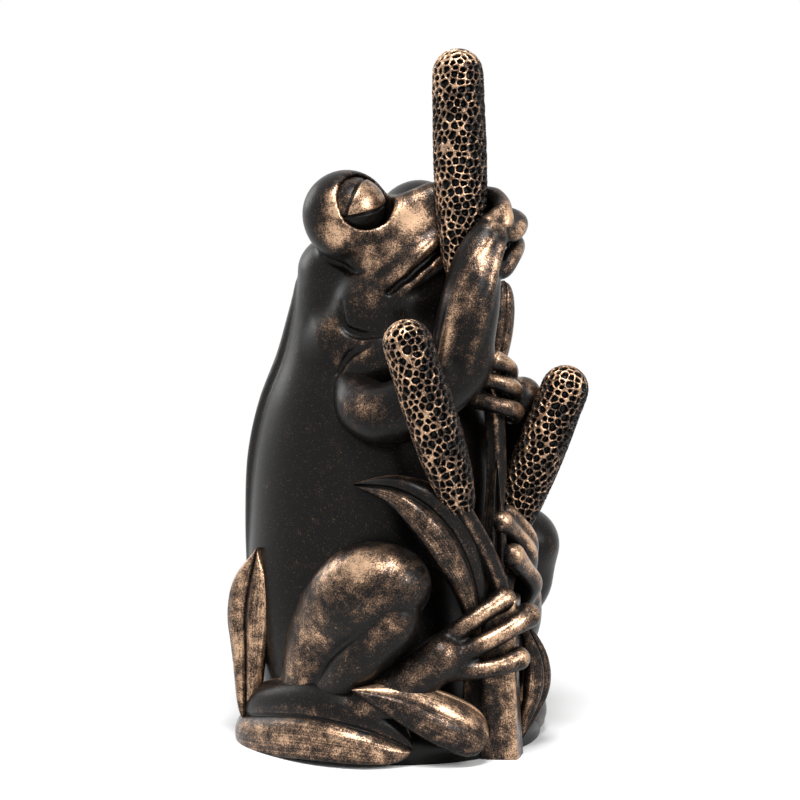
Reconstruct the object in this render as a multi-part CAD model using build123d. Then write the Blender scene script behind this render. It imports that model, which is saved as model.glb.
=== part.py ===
from build123d import *

# Frog figurine: a sitting frog hugs a clump of bulrushes. Each element is a resin casting of its own,
# seated on its neighbours with glued faces, spigots and sockets. Nothing moves.
# Frame: +X is the way the frog faces, +Y its left, +Z up. The origin is the centre of the underside.
import os
from math import acos, ceil, cos, pi, radians, sin, sqrt

# Driving dimensions of the frog, in millimetres
CROWN_HEIGHT = 125.0  # floor to the top of the eye domes
FROG_DEPTH = 50.0  # back to belly
FROG_WIDTH = 50.0  # flank to flank
HEAD_LENGTH = 27.0  # eye line to snout tip
HEAD_WIDTH = 33.0
HEAD_DEPTH = 24.0  # forehead to throat
HEAD_PITCH = 42.0  # degrees above the horizon
EYE_DOME_RADIUS = 9.5
EYE_SPACING = 26.4  # centre to centre of the eye domes
EYEBALL_RADIUS = 7.6
EYEBALL_STANDOFF = 2.4  # eyeball's centre ahead of its dome's centre
EYE_OPENING_RADIUS = 8.0
EYE_OPENING_STANDOFF = 5.4  # opening's centre ahead of its dome's centre
MOUTH_GAP = 0.9
MOUTH_CUT_DEPTH = 1.6
BROW_RADIUS = 8.0
JAW_RADIUS = 6.5
BACK_FOLD_RADIUS = 2.4
UPPER_ARM_RADIUS = 7.2
THIGH_RADIUS = 10.8
SHIN_RADIUS = 5.6
FOOT_RADIUS = 5.2
FINGER_RADIUS = 2.1
TOE_RADIUS = 2.2

# Driving dimensions of the base, the bulrushes and the leaves, in millimetres
BASE_RADIUS = 33.0
BASE_HEIGHT = 7.0
BASE_RIM_RADIUS = 4.0
CLUMP_REACH = 29.0  # centre of the base to the clump of stems
CLUMP_OFFSET = 5.5  # the clump stands to the frog's right of its middle
SHEATH_HEIGHT = 34.0
SHEATH_FOOT_RADIUS = 6.9
SHEATH_TOP_RADIUS = 6.2
SHEATH_KEEL = 1.6  # how far the fold of the sheath stands out
STEM_RADIUS = 2.1
STEM_SPIGOT = 6.0  # how far a stem goes up into its reed head
OVERALL_HEIGHT = 150.0  # floor to the top of the tall reed
TALL_REED_RADIUS = 5.75
TALL_REED_LENGTH = 50.0
SIDE_REED_RADIUS = 5.4
SIDE_REED_LENGTH = 42.0
SEED_PIT_RADIUS = 1.1
SEED_PIT_SPACING = 2.8
LEAF_THICKNESS = 2.4
LEAF_EDGE = 1.6
HIP_LEAF_WIDTH = 17.0
BACK_LEAF_WIDTH = 10.5
REAR_LEAF_WIDTH = 12.0
FRONT_LEAF_WIDTH = 10.5
CURLED_LEAF_WIDTH = 12.0
SIDE_LEAF_WIDTH = 8.0
HELD_LEAF_WIDTH = 5.4

HALF_DEPTH = FROG_DEPTH / 2
HALF_WIDTH = FROG_WIDTH / 2
RIGHT = -1
LEFT = 1

pieces = {}


# Shared shapes
def place(x_share, y_share, z_share):
    """A point of the frog, in shares of its half depth, its half width and its height."""
    return Vector(x_share * HALF_DEPTH, y_share * HALF_WIDTH, z_share * CROWN_HEIGHT)


DOME_SHARES = (0.5, 0.85, 0.985)  # rings of a domed end, as shares of the end's radius
RING_SHARE = 2.2  # how closely the rings of a stem follow each other


def domed(stations):
    """The stations of a limb with more rings past each end, which round the end off."""
    (first, first_radius), (second, _) = stations[:2]
    (before, _), (last, last_radius) = stations[-2:]
    back = (first - second).normalized()
    ahead = (last - before).normalized()
    rings = list(stations)
    for share in DOME_SHARES:
        shrink = sqrt(1 - share**2)
        rings.insert(0, (first + back * first_radius * share, first_radius * shrink))
        rings.append((last + ahead * last_radius * share, last_radius * shrink))
    return rings


def between(stations):
    """The stations with one more ring halfway along each smooth stretch of the path."""
    path = Spline(*[centre for centre, _ in stations])
    rings = [stations[0]]
    for (start, start_radius), (end, end_radius) in zip(stations, stations[1:]):
        halfway = (path.param_at_point(start) + path.param_at_point(end)) / 2
        rings.append((path.position_at(halfway), (start_radius + end_radius) / 2))
        rings.append((end, end_radius))
    return rings


def graded(stations):
    """Rings of one radius along the smooth path through the stations, closer together towards its ends."""
    path = Spline(*[centre for centre, _ in stations])
    radius = stations[0][1]
    steps = ceil(RING_SHARE * sqrt(path.length / radius))
    return [(path.position_at((1 - cos(pi * step / steps)) / 2), radius) for step in range(steps + 1)]


def limb(rings):
    """A round limb: circles square to their path, lofted smoothly, with a dome at each end."""
    rings = domed(rings)
    centres = [centre for centre, _ in rings]
    top = len(rings) - 1
    side = Plane(centres[0], z_dir=centres[1] - centres[0]).x_dir
    sections = []
    for index, (centre, radius) in enumerate(rings):
        ahead = (centres[min(index + 1, top)] - centres[max(index - 1, 0)]).normalized()
        side = (side - ahead * side.dot(ahead)).normalized()
        sections.append(Plane(centre, x_dir=side, z_dir=ahead) * Circle(radius))
    return loft(sections)


def body_limb(shares, radius):
    """A limb from a table of places on the frog and shares of its radius."""
    return limb(between([(place(x, y, z), radius * girth) for x, y, z, girth in shares]))


def mirrored(shares):
    """The same table on the frog's other side."""
    return tuple((x, -y, *rest) for x, y, *rest in shares)


def main_solid(shape):
    """The main solid of a shape, without the crumbs that a cut leaves."""
    return max(shape.solids(), key=lambda solid: solid.volume)


def seat(name, shape, *neighbours):
    """Cuts a piece to sit against the pieces that carry it, and files it under its name."""
    shape = main_solid(shape)
    for neighbour in neighbours:
        shape = main_solid(shape.cut(pieces[neighbour]))
    pieces[name] = shape


# Base and bulrushes: three reed heads on stems that come out of one sheathed clump
CLUMP = Vector(CLUMP_REACH, -CLUMP_OFFSET, 0)
TALL_TOP = Vector(CLUMP_REACH * 0.70, -CLUMP_OFFSET * 1.1, OVERALL_HEIGHT)
TALL_FOOT = Vector(CLUMP_REACH * 0.76, -CLUMP_OFFSET * 1.1, OVERALL_HEIGHT - TALL_REED_LENGTH)
RIGHT_REED_TOP = place(0.87, -1.17, 0.745)
RIGHT_REED_FOOT = place(1.18, -0.72, 0.43)
LEFT_REED_TOP = place(1.63, 0.34, 0.66)
LEFT_REED_FOOT = place(1.15, 0.20, 0.41)
STEMS = ("tall_reed_stem", "right_reed_stem", "left_reed_stem")
HEADS = ("tall_reed_head", "right_reed_head", "left_reed_head")
KEEL_TURN = -18  # degrees round the clump, from straight ahead to the left
PIT_SEAT_SHARE = 0.98  # where the pits are centred, as a share of the reed head's radius


def reed_head(top, foot, radius, length):
    """A reed head: a barrel with a domed top and a tapered foot, turned about its own leaning axis."""
    up = (top - foot).normalized()
    neck = radius * 0.52
    with BuildSketch(Plane.XZ) as half:
        with BuildLine():
            Line((0, 0), (neck, 0))
            Spline(
                (neck, 0),
                (radius * 0.93, length * 0.16),
                (radius, length * 0.55),
                (radius * 0.93, length - radius),
                (0, length),
                tangents=((1, 1), (-1, 0)),
            )
            Line((0, length), (0, 0))
        make_face()
    head = revolve(half.sketch, axis=Axis.Z)
    return Plane(top - up * length, z_dir=up) * head


def pit_reed_head(name, top, foot, radius, length):
    """Sinks the seed pits into a reed head, row by row, each row half a pit on from the last."""
    up = (top - foot).normalized()
    barrel = Plane(top - up * length, z_dir=up)
    around = int(2 * pi * radius / SEED_PIT_SPACING)
    row_height = SEED_PIT_SPACING * sqrt(3) / 2
    for row in range(int((length * 0.84 - radius) / row_height)):
        height = length * 0.16 + (row + 0.5) * row_height
        pits = []
        for step in range(around):
            turn = 2 * pi * (step + 0.25 + row % 2 / 2) / around
            out = Vector(cos(turn), sin(turn), 0)
            centre = out * radius * PIT_SEAT_SHARE + Vector(0, 0, height)
            pit = Plane(centre, z_dir=out) * Sphere(SEED_PIT_RADIUS)
            pits.append((barrel * pit).solid())
        pieces[name] = main_solid(pieces[name].cut(*pits))


def stem(root, bends, foot, top):
    """A stem from its socket in the sheath, through its bends, up into the reed head."""
    up = (top - foot).normalized()
    path = (root, *bends, foot, foot + up * STEM_SPIGOT)
    return limb(graded([(centre, STEM_RADIUS) for centre in path]))


def sheath_section(height, radius):
    """The sheath at one height: round behind, with two flat faces that meet in the keel."""
    keel = radius + SHEATH_KEEL
    turn = acos(radius / keel)
    tangent = (radius * cos(turn), radius * sin(turn))
    other = (radius * cos(turn), -radius * sin(turn))
    with BuildSketch(Pos(CLUMP + Vector(0, 0, height)) * Rot(0, 0, KEEL_TURN)) as outline:
        with BuildLine():
            Line((keel, 0), tangent)
            ThreePointArc(tangent, (-radius, 0), other)
            Line(other, (keel, 0))
        make_face()
    return outline.sketch


def build_reeds():
    """The sheath with its sockets, the base round it, the three stems and the three reed heads."""
    step = STEM_RADIUS * 1.05
    socket = CLUMP + Vector(0, 0, SHEATH_HEIGHT * 0.82)
    mouth = CLUMP + Vector(0, 0, SHEATH_HEIGHT * 1.06)
    behind = Vector(-step * 1.3, 0, 0)
    right = Vector(step * 1.3, -step * 0.8, 0)
    left = Vector(step * 0.3, step * 1.75, 0)
    tall_bends = [
        mouth + behind,
        place(1.15, -0.14, 0.45),
        place(1.09, -0.12, 0.63),
        place(0.94, -0.20, 0.73),
    ]
    pieces["tall_reed_stem"] = stem(socket + behind, tall_bends, TALL_FOOT, TALL_TOP)
    right_bends = [mouth + right, place(1.26, -0.50, 0.36)]
    pieces["right_reed_stem"] = stem(socket + right, right_bends, RIGHT_REED_FOOT, RIGHT_REED_TOP)
    pieces["left_reed_stem"] = stem(socket + left, [mouth + left], LEFT_REED_FOOT, LEFT_REED_TOP)
    sheath = loft(
        [
            sheath_section(0, SHEATH_FOOT_RADIUS),
            sheath_section(SHEATH_HEIGHT * 0.5, SHEATH_FOOT_RADIUS * 0.86),
            sheath_section(SHEATH_HEIGHT, SHEATH_TOP_RADIUS),
        ]
    )
    seat("reed_sheath", sheath, *STEMS)
    base = Cylinder(BASE_RADIUS, BASE_HEIGHT, align=(Align.CENTER, Align.CENTER, Align.MIN))
    base = fillet(base.edges().group_by(Axis.Z)[-1], BASE_RIM_RADIUS)
    seat("base_mound", base, "reed_sheath")
    seat(HEADS[0], reed_head(TALL_TOP, TALL_FOOT, TALL_REED_RADIUS, TALL_REED_LENGTH), STEMS[0])
    seat(HEADS[1], reed_head(RIGHT_REED_TOP, RIGHT_REED_FOOT, SIDE_REED_RADIUS, SIDE_REED_LENGTH), STEMS[1])
    seat(HEADS[2], reed_head(LEFT_REED_TOP, LEFT_REED_FOOT, SIDE_REED_RADIUS, SIDE_REED_LENGTH), STEMS[2])


# Torso: a pear of level ellipses.
# Each row: height share, middle share, depth share, width share.
TORSO_SHARES = (
    (0.048, -0.20, 1.00, 1.04),
    (0.16, -0.24, 1.05, 1.11),
    (0.27, -0.30, 1.05, 1.11),
    (0.38, -0.30, 1.06, 1.06),
    (0.49, -0.28, 1.03, 0.98),
    (0.585, -0.31, 0.93, 0.89),
    (0.67, -0.35, 0.77, 0.80),
    (0.745, -0.37, 0.65, 0.71),
    (0.80, -0.38, 0.58, 0.66),
    (0.845, -0.37, 0.51, 0.58),
    (0.876, -0.37, 0.40, 0.45),
    (0.896, -0.36, 0.22, 0.25),
)


FOLD_TURN = radians(38)  # from the spine round to each fold of the back
FOLD_SINK_SHARE = 0.965  # how deep a fold is set, as a share of the torso's half depth and half width
FOLD_GIRTH_SHARES = (0.55, 0.85, 1.0, 1.0, 1.0, 0.9, 0.7)  # from the hip, row by row up the torso


def back_fold(side):
    """A fold of skin that runs down the back beside the spine."""
    stations = []
    for (height, middle, depth, width), girth in zip(TORSO_SHARES[2:], FOLD_GIRTH_SHARES):
        behind = middle - depth * FOLD_SINK_SHARE * cos(FOLD_TURN)
        beside = side * width * FOLD_SINK_SHARE * sin(FOLD_TURN)
        stations.append((place(behind, beside, height), BACK_FOLD_RADIUS * girth))
    return limb(between(stations))


def build_torso():
    """The torso with its two back folds, which stands on the base."""
    sections = []
    for height, middle, depth, width in TORSO_SHARES:
        level = Pos(place(middle, 0, height))
        sections.append(level * Ellipse(HALF_DEPTH * depth, HALF_WIDTH * width))
    torso = loft(sections)
    for side in (RIGHT, LEFT):
        torso += back_fold(side)
    seat("torso", torso, "base_mound")


# Head: ellipses along the tilted snout, eye domes, sockets for the eyeballs and the mouth line.
# Each row: length share, half width share, half depth share, drop share.
HEAD_SHARES = (
    (-0.37, 0.84, 0.92, 0.84),
    (-0.07, 1.00, 1.00, 0.84),
    (0.22, 1.00, 0.96, 0.79),
    (0.52, 0.80, 0.76, 0.62),
    (0.74, 0.58, 0.56, 0.50),
    (0.93, 0.34, 0.34, 0.42),
    (1.00, 0.16, 0.16, 0.40),
)
HEAD_ORIGIN = place(-0.16, 0, 0.848)
HEAD_TILT = radians(HEAD_PITCH)
AHEAD = Vector(cos(HEAD_TILT), 0, sin(HEAD_TILT))
CROWNWARD = Vector(-sin(HEAD_TILT), 0, cos(HEAD_TILT))
MOUTH_TILT = HEAD_TILT + radians(21)
EYE_MIDDLE = place(-0.15, 0, 0.922)
GAZE_SHARES = (0.78, 0.12, 0.61)  # forward, outward and upward shares of the line of sight
JAW_SHARES = (
    (0.08, -0.52, 0.76),
    (0.36, -0.36, 0.764),
    (0.52, 0, 0.788),
    (0.36, 0.36, 0.764),
    (0.08, 0.52, 0.76),
)


def skull(inset):
    """The head without its eyes, or the same head smaller all round by the inset."""
    sections = []
    for length, width, depth, drop in HEAD_SHARES:
        centre = HEAD_ORIGIN + AHEAD * HEAD_LENGTH * length - CROWNWARD * HEAD_DEPTH / 2 * drop
        half_width = max(HEAD_WIDTH / 2 * width - inset, MOUTH_GAP)
        half_depth = max(HEAD_DEPTH / 2 * depth - inset, MOUTH_GAP)
        sections.append(Plane(centre, x_dir=(0, 1, 0), z_dir=AHEAD) * Ellipse(half_width, half_depth))
    return loft(sections)


def eye_places(side):
    """Centres of an eye's dome, of its eyeball and of the opening between its lids."""
    forward, outward, upward = GAZE_SHARES
    dome = EYE_MIDDLE + Vector(0, side * EYE_SPACING / 2, 0)
    gaze = Vector(forward, side * outward, upward).normalized()
    return dome, dome + gaze * EYEBALL_STANDOFF, dome + gaze * EYE_OPENING_STANDOFF


def mouth_cut():
    """The mouth line: a thin sheet through the lips, as deep as the cut."""
    lip = HEAD_ORIGIN + AHEAD * HEAD_LENGTH * 0.80 - CROWNWARD * HEAD_DEPTH / 2 * 0.79
    along = Vector(cos(MOUTH_TILT), 0, sin(MOUTH_TILT))
    upright = Vector(-sin(MOUTH_TILT), 0, cos(MOUTH_TILT))
    sheet = Plane(lip - along * HEAD_LENGTH * 0.27, x_dir=along, z_dir=upright)
    plate = sheet * Box(HEAD_LENGTH * 0.92, HEAD_WIDTH * 1.2, MOUTH_GAP)
    return plate - skull(MOUTH_CUT_DEPTH)


def build_head():
    """The head, seated over the neck, and the two eyeballs in their sockets."""
    domes = [eye_places(side)[0] for side in (RIGHT, LEFT)]
    sunk = CROWNWARD * EYE_DOME_RADIUS * 0.5
    head = skull(0) + limb(between([(dome - sunk, BROW_RADIUS) for dome in domes]))
    head += limb(between([(place(*row), JAW_RADIUS) for row in JAW_SHARES]))
    for dome in domes:
        head += Pos(dome) * Sphere(EYE_DOME_RADIUS)
    head -= mouth_cut()
    for name, side in (("right_eye", RIGHT), ("left_eye", LEFT)):
        _, ball, opening = eye_places(side)
        head -= Pos(opening) * Sphere(EYE_OPENING_RADIUS)
        pieces[name] = (Pos(ball) * Sphere(EYEBALL_RADIUS)).solid()
    seat("head", head, "torso", "right_eye", "left_eye", "tall_reed_head")


# Legs and feet. Each row: forward share, side share, height share, girth share.
THIGH_SHARES = (
    (-0.32, -0.68, 0.176, 0.79),
    (0.00, -0.88, 0.224, 0.96),
    (0.36, -0.98, 0.276, 1.00),
    (0.64, -1.02, 0.30, 0.81),
    (0.78, -1.02, 0.304, 0.57),
)
SHIN_SHARES = (
    (0.70, -1.02, 0.292, 0.86),
    (0.76, -1.09, 0.248, 0.93),
    (0.62, -1.12, 0.206, 0.89),
    (0.38, -1.12, 0.16, 0.93),
    (0.12, -1.06, 0.108, 0.93),
)
RIGHT_SOLE_SHARES = (
    (0.16, -1.12, 0.072, 1.00),
    (0.52, -1.06, 0.096, 1.04),
    (0.84, -0.90, 0.144, 0.96),
    (1.02, -0.78, 0.18, 0.88),
)
RIGHT_TOE_SHARES = (
    (
        (1.00, -0.74, 0.20, 1.09),
        (1.20, -0.58, 0.24, 0.95),
        (1.30, -0.44, 0.26, 1.00),
        (1.34, -0.32, 0.27, 1.23),
    ),
    (
        (1.08, -0.74, 0.176, 1.09),
        (1.32, -0.58, 0.204, 0.95),
        (1.47, -0.40, 0.228, 1.00),
        (1.52, -0.22, 0.244, 1.23),
    ),
    (
        (1.08, -0.74, 0.156, 1.05),
        (1.30, -0.62, 0.16, 0.95),
        (1.44, -0.48, 0.166, 1.00),
        (1.50, -0.34, 0.174, 1.14),
    ),
)
LEFT_SOLE_SHARES = (
    (0.16, 1.12, 0.072, 1.00),
    (0.56, 1.00, 0.128, 1.00),
    (0.92, 0.76, 0.208, 0.96),
    (1.12, 0.54, 0.264, 0.85),
)
LEFT_TOE_SHARES = (
    (
        (1.28, 0.44, 0.312, 1.00),
        (1.41, 0.26, 0.36, 0.93),
        (1.38, 0.10, 0.394, 0.93),
        (1.30, -0.04, 0.41, 1.07),
    ),
    (
        (1.26, 0.40, 0.296, 1.00),
        (1.36, 0.12, 0.342, 0.95),
        (1.32, -0.10, 0.38, 0.95),
        (1.29, -0.27, 0.40, 1.18),
    ),
    (
        (1.21, 0.40, 0.25, 1.05),
        (1.37, 0.22, 0.286, 1.00),
        (1.38, -0.01, 0.317, 0.95),
        (1.37, -0.21, 0.343, 1.23),
    ),
)


def build_leg(name, thigh_shares, shin_shares):
    """A folded leg: the thigh lies along the flank and the shin comes back down to the base."""
    leg = body_limb(thigh_shares, THIGH_RADIUS) + body_limb(shin_shares, SHIN_RADIUS)
    seat(name, leg, "base_mound", "torso", *HEADS)


def build_foot(name, leg, sole_shares, toe_shares):
    """A foot whose toes close round the clump of stems."""
    foot = body_limb(sole_shares, FOOT_RADIUS)
    for toe in toe_shares:
        foot += body_limb(toe, TOE_RADIUS)
    seat(name, foot, "base_mound", "reed_sheath", "torso", leg, *STEMS, *HEADS)


# Arms. Each row: forward share, side share, height share, girth share.
RIGHT_ARM_SHARES = (
    (-0.04, -0.60, 0.632, 0.90),
    (0.20, -0.80, 0.584, 0.97),
    (0.52, -0.80, 0.576, 1.00),
    (0.80, -0.66, 0.616, 0.92),
    (1.00, -0.50, 0.664, 0.89),
    (1.05, -0.49, 0.712, 0.90),
    (1.11, -0.49, 0.776, 0.86),
    (1.14, -0.46, 0.84, 0.78),
    (1.20, -0.38, 0.88, 0.64),
)
LEFT_ARM_SHARES = (
    (-0.04, 0.60, 0.632, 0.90),
    (0.24, 0.84, 0.592, 1.00),
    (0.60, 0.90, 0.536, 1.03),
    (0.88, 0.74, 0.512, 0.94),
    (1.08, 0.48, 0.552, 0.72),
    (1.18, 0.24, 0.608, 0.58),
)
# Fingers of the right hand, which arch over their knuckles. Each row: degrees round the tall reed from
# straight ahead to the left, share of the reed's radius, height share.
RIGHT_FINGER_SHARES = (
    ((15, 1.77, 0.928), (40, 1.74, 0.954), (75, 1.36, 0.96)),
    ((0, 1.84, 0.908), (8, 1.77, 0.934), (35, 1.57, 0.946), (65, 1.34, 0.936)),
    ((12, 1.98, 0.888), (36, 2.10, 0.909), (66, 1.79, 0.923), (95, 1.34, 0.92)),
    ((6, 1.90, 0.845), (34, 2.07, 0.858), (66, 1.77, 0.872), (95, 1.34, 0.872)),
)
LEFT_CURL = (55, 20, -15, -50, -85)  # degrees round the tall stem
LEFT_REACH_SHARE = 1.8
LEFT_GRIP_SHARES = (0.656, 0.627, 0.60)  # heights of the fingers on the tall stem


def finger(palm_row, foot, lean, girth, rows):
    """A finger that leaves the palm and closes round a leaning axis."""
    palm_x, palm_y, palm_z, _ = palm_row
    stations = [(place(palm_x, palm_y, (palm_z + rows[0][2]) / 2), FINGER_RADIUS)]
    for turn, reach, height in rows:
        swing = Vector(cos(radians(turn)), sin(radians(turn)), 0) * girth * reach
        stations.append((foot + lean * (height * CROWN_HEIGHT - foot.Z) + swing, FINGER_RADIUS))
    return limb(between(stations))


def build_arms():
    """The right arm, whose hand holds the tall reed, and the left arm, whose hand holds its stem."""
    right_arm = body_limb(RIGHT_ARM_SHARES, UPPER_ARM_RADIUS)
    lean = (TALL_TOP - TALL_FOOT).normalized()
    for rows in RIGHT_FINGER_SHARES:
        right_arm += finger(RIGHT_ARM_SHARES[-1], TALL_FOOT, lean, TALL_REED_RADIUS, rows)
    seat("right_arm", right_arm, "torso", "head", *STEMS, *HEADS)
    left_arm = body_limb(LEFT_ARM_SHARES, UPPER_ARM_RADIUS)
    for grip in LEFT_GRIP_SHARES:
        rows = [(turn, LEFT_REACH_SHARE, grip) for turn in LEFT_CURL]
        left_arm += finger(LEFT_ARM_SHARES[-1], place(1.09, -0.12, 0), Vector(0, 0, 1), STEM_RADIUS, rows)
    seat("left_arm", left_arm, "torso", "head", "right_arm", *STEMS, *HEADS)


# Leaves: gull-wing blades with a midrib groove, lofted along their midrib
BLADE_SHARES = (0.16, 0.62, 1.0, 0.92, 0.55, 0.12)  # width along a leaf that is pointed at both ends
ROOTED_SHARES = (0.85, 1.0, 1.0, 0.85, 0.52, 0.12)  # width along a leaf with a broad root


def leaf_section(half_width, thickness):
    """Outline of a leaf across its midrib: two crowned lobes that meet in a groove, over a flat back."""
    crown = thickness * 0.9
    groove = thickness * 0.45
    with BuildSketch() as outline:
        with BuildLine():
            ThreePointArc((-half_width, 0), (-half_width * 0.5, crown), (0, groove))
            ThreePointArc((0, groove), (half_width * 0.5, crown), (half_width, 0))
            Line((half_width, 0), (half_width, -LEAF_EDGE))
            Line((half_width, -LEAF_EDGE), (-half_width, -LEAF_EDGE))
            Line((-half_width, -LEAF_EDGE), (-half_width, 0))
        make_face()
    return outline.sketch


def leaf(midrib_shares, width, lift, turn, widths):
    """A leaf along its midrib. It faces away from the frog's axis, turned about it and lifted upwards."""
    path = Spline(*[place(*row) for row in midrib_shares])
    axis = place(-0.2, 0, 0)
    sections = []
    for index, share in enumerate(widths):
        along = index / (len(widths) - 1)
        centre = path.position_at(along)
        ahead = path.tangent_at(along)
        outward = Vector(centre.X - axis.X, centre.Y, 0).normalized().rotate(Axis.Z, turn)
        facing = outward + Vector(0, 0, lift)
        across = facing.cross(ahead).normalized()
        section = leaf_section(width / 2 * share, LEAF_THICKNESS * (0.4 + 0.6 * share))
        sections.append(Plane(centre, x_dir=across, z_dir=ahead) * section)
    return loft(sections)


HIP_LEAF_SHARES = (
    (-1.12, -0.78, 0.028),
    (-0.68, -1.14, 0.056),
    (0.04, -1.32, 0.078),
    (0.57, -1.236, 0.066),
    (0.87, -1.00, 0.03),
)
BACK_LEAF_SHARES = (
    (-0.90, -1.072, 0.04),
    (-0.86, -1.052, 0.152),
    (-0.832, -1.032, 0.24),
    (-0.772, -0.98, 0.34),
)
BACK_LEAF_TURN = 40
RIGHT_FRONT_LEAF_SHARES = (
    (1.18, -0.72, 0.046),
    (1.056, -0.92, 0.08),
    (0.788, -1.108, 0.118),
    (0.46, -1.30, 0.13),
)
LEFT_FRONT_LEAF_SHARES = ((1.24, 0.28, 0.046), (1.08, 0.72, 0.052), (0.80, 1.06, 0.07), (0.40, 1.26, 0.10))
CURLED_LEAF_SHARES = (
    (1.18, -0.38, 0.16),
    (1.16, -0.504, 0.286),
    (1.132, -0.72, 0.37),
    (0.992, -0.90, 0.428),
    (0.664, -0.952, 0.46),
    (0.16, -0.86, 0.46),
)
SIDE_LEAF_SHARES = ((1.28, 0.02, 0.016), (1.40, 0.12, 0.096), (1.412, 0.10, 0.16), (1.36, -0.08, 0.232))
HELD_LEAF_SHARES = ((1.06, 0.08, 0.64), (1.10, 0.12, 0.72), (1.08, 0.132, 0.804))
REAR_LEAF_SHARES = ((-1.34, 0.00, 0.024), (-1.41, 0.00, 0.112), (-1.41, -0.04, 0.192), (-1.34, -0.04, 0.264))


def build_leaf(name, midrib_shares, width, *neighbours, lift=0.0, turn=0.0, widths=BLADE_SHARES):
    """One leaf, seated on the base and against its neighbours."""
    seat(name, leaf(midrib_shares, width, lift, turn, widths), *neighbours)


def build_leaves():
    """The leaves round the base, the curled leaf over the thigh and the blade in the left hand."""
    for name, side, row, front_leaf in (
        ("right", RIGHT, tuple, RIGHT_FRONT_LEAF_SHARES),
        ("left", LEFT, mirrored, LEFT_FRONT_LEAF_SHARES),
    ):
        leg, foot, hip = f"{name}_leg", f"{name}_foot", f"{name}_hip_leaf"
        build_leaf(hip, row(HIP_LEAF_SHARES), HIP_LEAF_WIDTH, "base_mound", "torso", leg, foot, lift=0.45)
        around = ("base_mound", "torso", leg, hip)
        turn = -side * BACK_LEAF_TURN
        build_leaf(f"{name}_back_leaf", row(BACK_LEAF_SHARES), BACK_LEAF_WIDTH, *around, lift=0.1, turn=turn)
        around = ("base_mound", "reed_sheath", leg, foot, hip)
        front = f"{name}_front_leaf"
        build_leaf(front, front_leaf, FRONT_LEAF_WIDTH, *around, lift=0.4, widths=ROOTED_SHARES)
    build_leaf("rear_leaf", REAR_LEAF_SHARES, REAR_LEAF_WIDTH, "base_mound", "torso")
    around = ("reed_sheath", *STEMS, "right_reed_head", "torso", "right_leg", "right_foot", "left_foot")
    build_leaf("curled_leaf", CURLED_LEAF_SHARES, CURLED_LEAF_WIDTH, *around, lift=0.2)
    around = ("base_mound", "reed_sheath", "left_reed_stem", "right_foot", "left_foot", "left_front_leaf")
    build_leaf("left_side_leaf", SIDE_LEAF_SHARES, SIDE_LEAF_WIDTH, *around, lift=0.1)
    around = ("tall_reed_stem", "left_reed_head", "right_arm", "left_arm", "head")
    build_leaf("held_leaf", HELD_LEAF_SHARES, HELD_LEAF_WIDTH, *around)


def build():
    """Builds every piece in the order in which it is seated, and writes one file for each."""
    build_reeds()
    build_torso()
    build_head()
    build_leg("right_leg", THIGH_SHARES, SHIN_SHARES)
    build_leg("left_leg", mirrored(THIGH_SHARES), mirrored(SHIN_SHARES))
    build_arms()
    build_foot("right_foot", "right_leg", RIGHT_SOLE_SHARES, RIGHT_TOE_SHARES)
    build_foot("left_foot", "left_leg", LEFT_SOLE_SHARES, LEFT_TOE_SHARES)
    build_leaves()
    pit_reed_head(HEADS[0], TALL_TOP, TALL_FOOT, TALL_REED_RADIUS, TALL_REED_LENGTH)
    pit_reed_head(HEADS[1], RIGHT_REED_TOP, RIGHT_REED_FOOT, SIDE_REED_RADIUS, SIDE_REED_LENGTH)
    pit_reed_head(HEADS[2], LEFT_REED_TOP, LEFT_REED_FOOT, SIDE_REED_RADIUS, SIDE_REED_LENGTH)
    os.makedirs("parts", exist_ok=True)
    for name, piece in pieces.items():
        export_step(piece, f"parts/{name}.step")


build()
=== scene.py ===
# %% [markdown]
# # A frog among bulrushes
# The object is a shelf figurine of cold-cast bronze: resin filled with metal powder, stained nearly black
# and rubbed back to copper gold where a polishing cloth reaches. A tree frog sits up and hugs three
# bulrushes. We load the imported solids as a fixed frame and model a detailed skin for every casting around
# them. The skins could be sculpted by hand in Blender, but each is worked out from a few sizes, so that it
# can be read, changed and made again.

# %% Frame and units
import math

import bpy
import numpy as np
import openvdb
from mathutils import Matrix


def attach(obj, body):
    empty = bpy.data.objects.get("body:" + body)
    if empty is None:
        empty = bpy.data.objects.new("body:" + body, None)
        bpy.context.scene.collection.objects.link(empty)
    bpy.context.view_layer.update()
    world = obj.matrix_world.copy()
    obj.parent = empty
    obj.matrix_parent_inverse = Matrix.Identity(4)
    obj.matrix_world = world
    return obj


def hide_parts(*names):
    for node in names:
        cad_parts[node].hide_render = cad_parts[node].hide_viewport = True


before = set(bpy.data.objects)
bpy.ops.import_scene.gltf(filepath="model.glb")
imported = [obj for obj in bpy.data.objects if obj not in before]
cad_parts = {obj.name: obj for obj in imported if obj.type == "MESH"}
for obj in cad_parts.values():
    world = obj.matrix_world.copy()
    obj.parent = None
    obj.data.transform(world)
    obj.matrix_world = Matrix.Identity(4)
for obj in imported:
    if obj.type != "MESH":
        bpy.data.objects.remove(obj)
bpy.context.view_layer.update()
MM = 0.001

# %% [markdown]
# ## Putting a surface into the scene
# Every piece ends as points and faces in millimetres. One helper turns them into a mesh in metres, makes
# the faces point outwards, stores the rubbing of the cloth, with painted light and shade in places, as a
# value on each point, and hides the solid that the piece stands for. Each piece could do that for itself,
# but in one place nothing is left without its body or its finish.


# %% From points to a piece
def signed_volume(points, corners):
    """A sixth of the sum of a . (b x c) over the triangles of all faces: positive if they point outwards."""
    total = 0.0
    for second in range(1, corners.shape[1] - 1):
        a, b, c = (points[corners[:, k]] for k in (0, second, second + 1))
        total += np.einsum("ij,ij->i", a, np.cross(b, c)).sum()
    return total / 6


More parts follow.
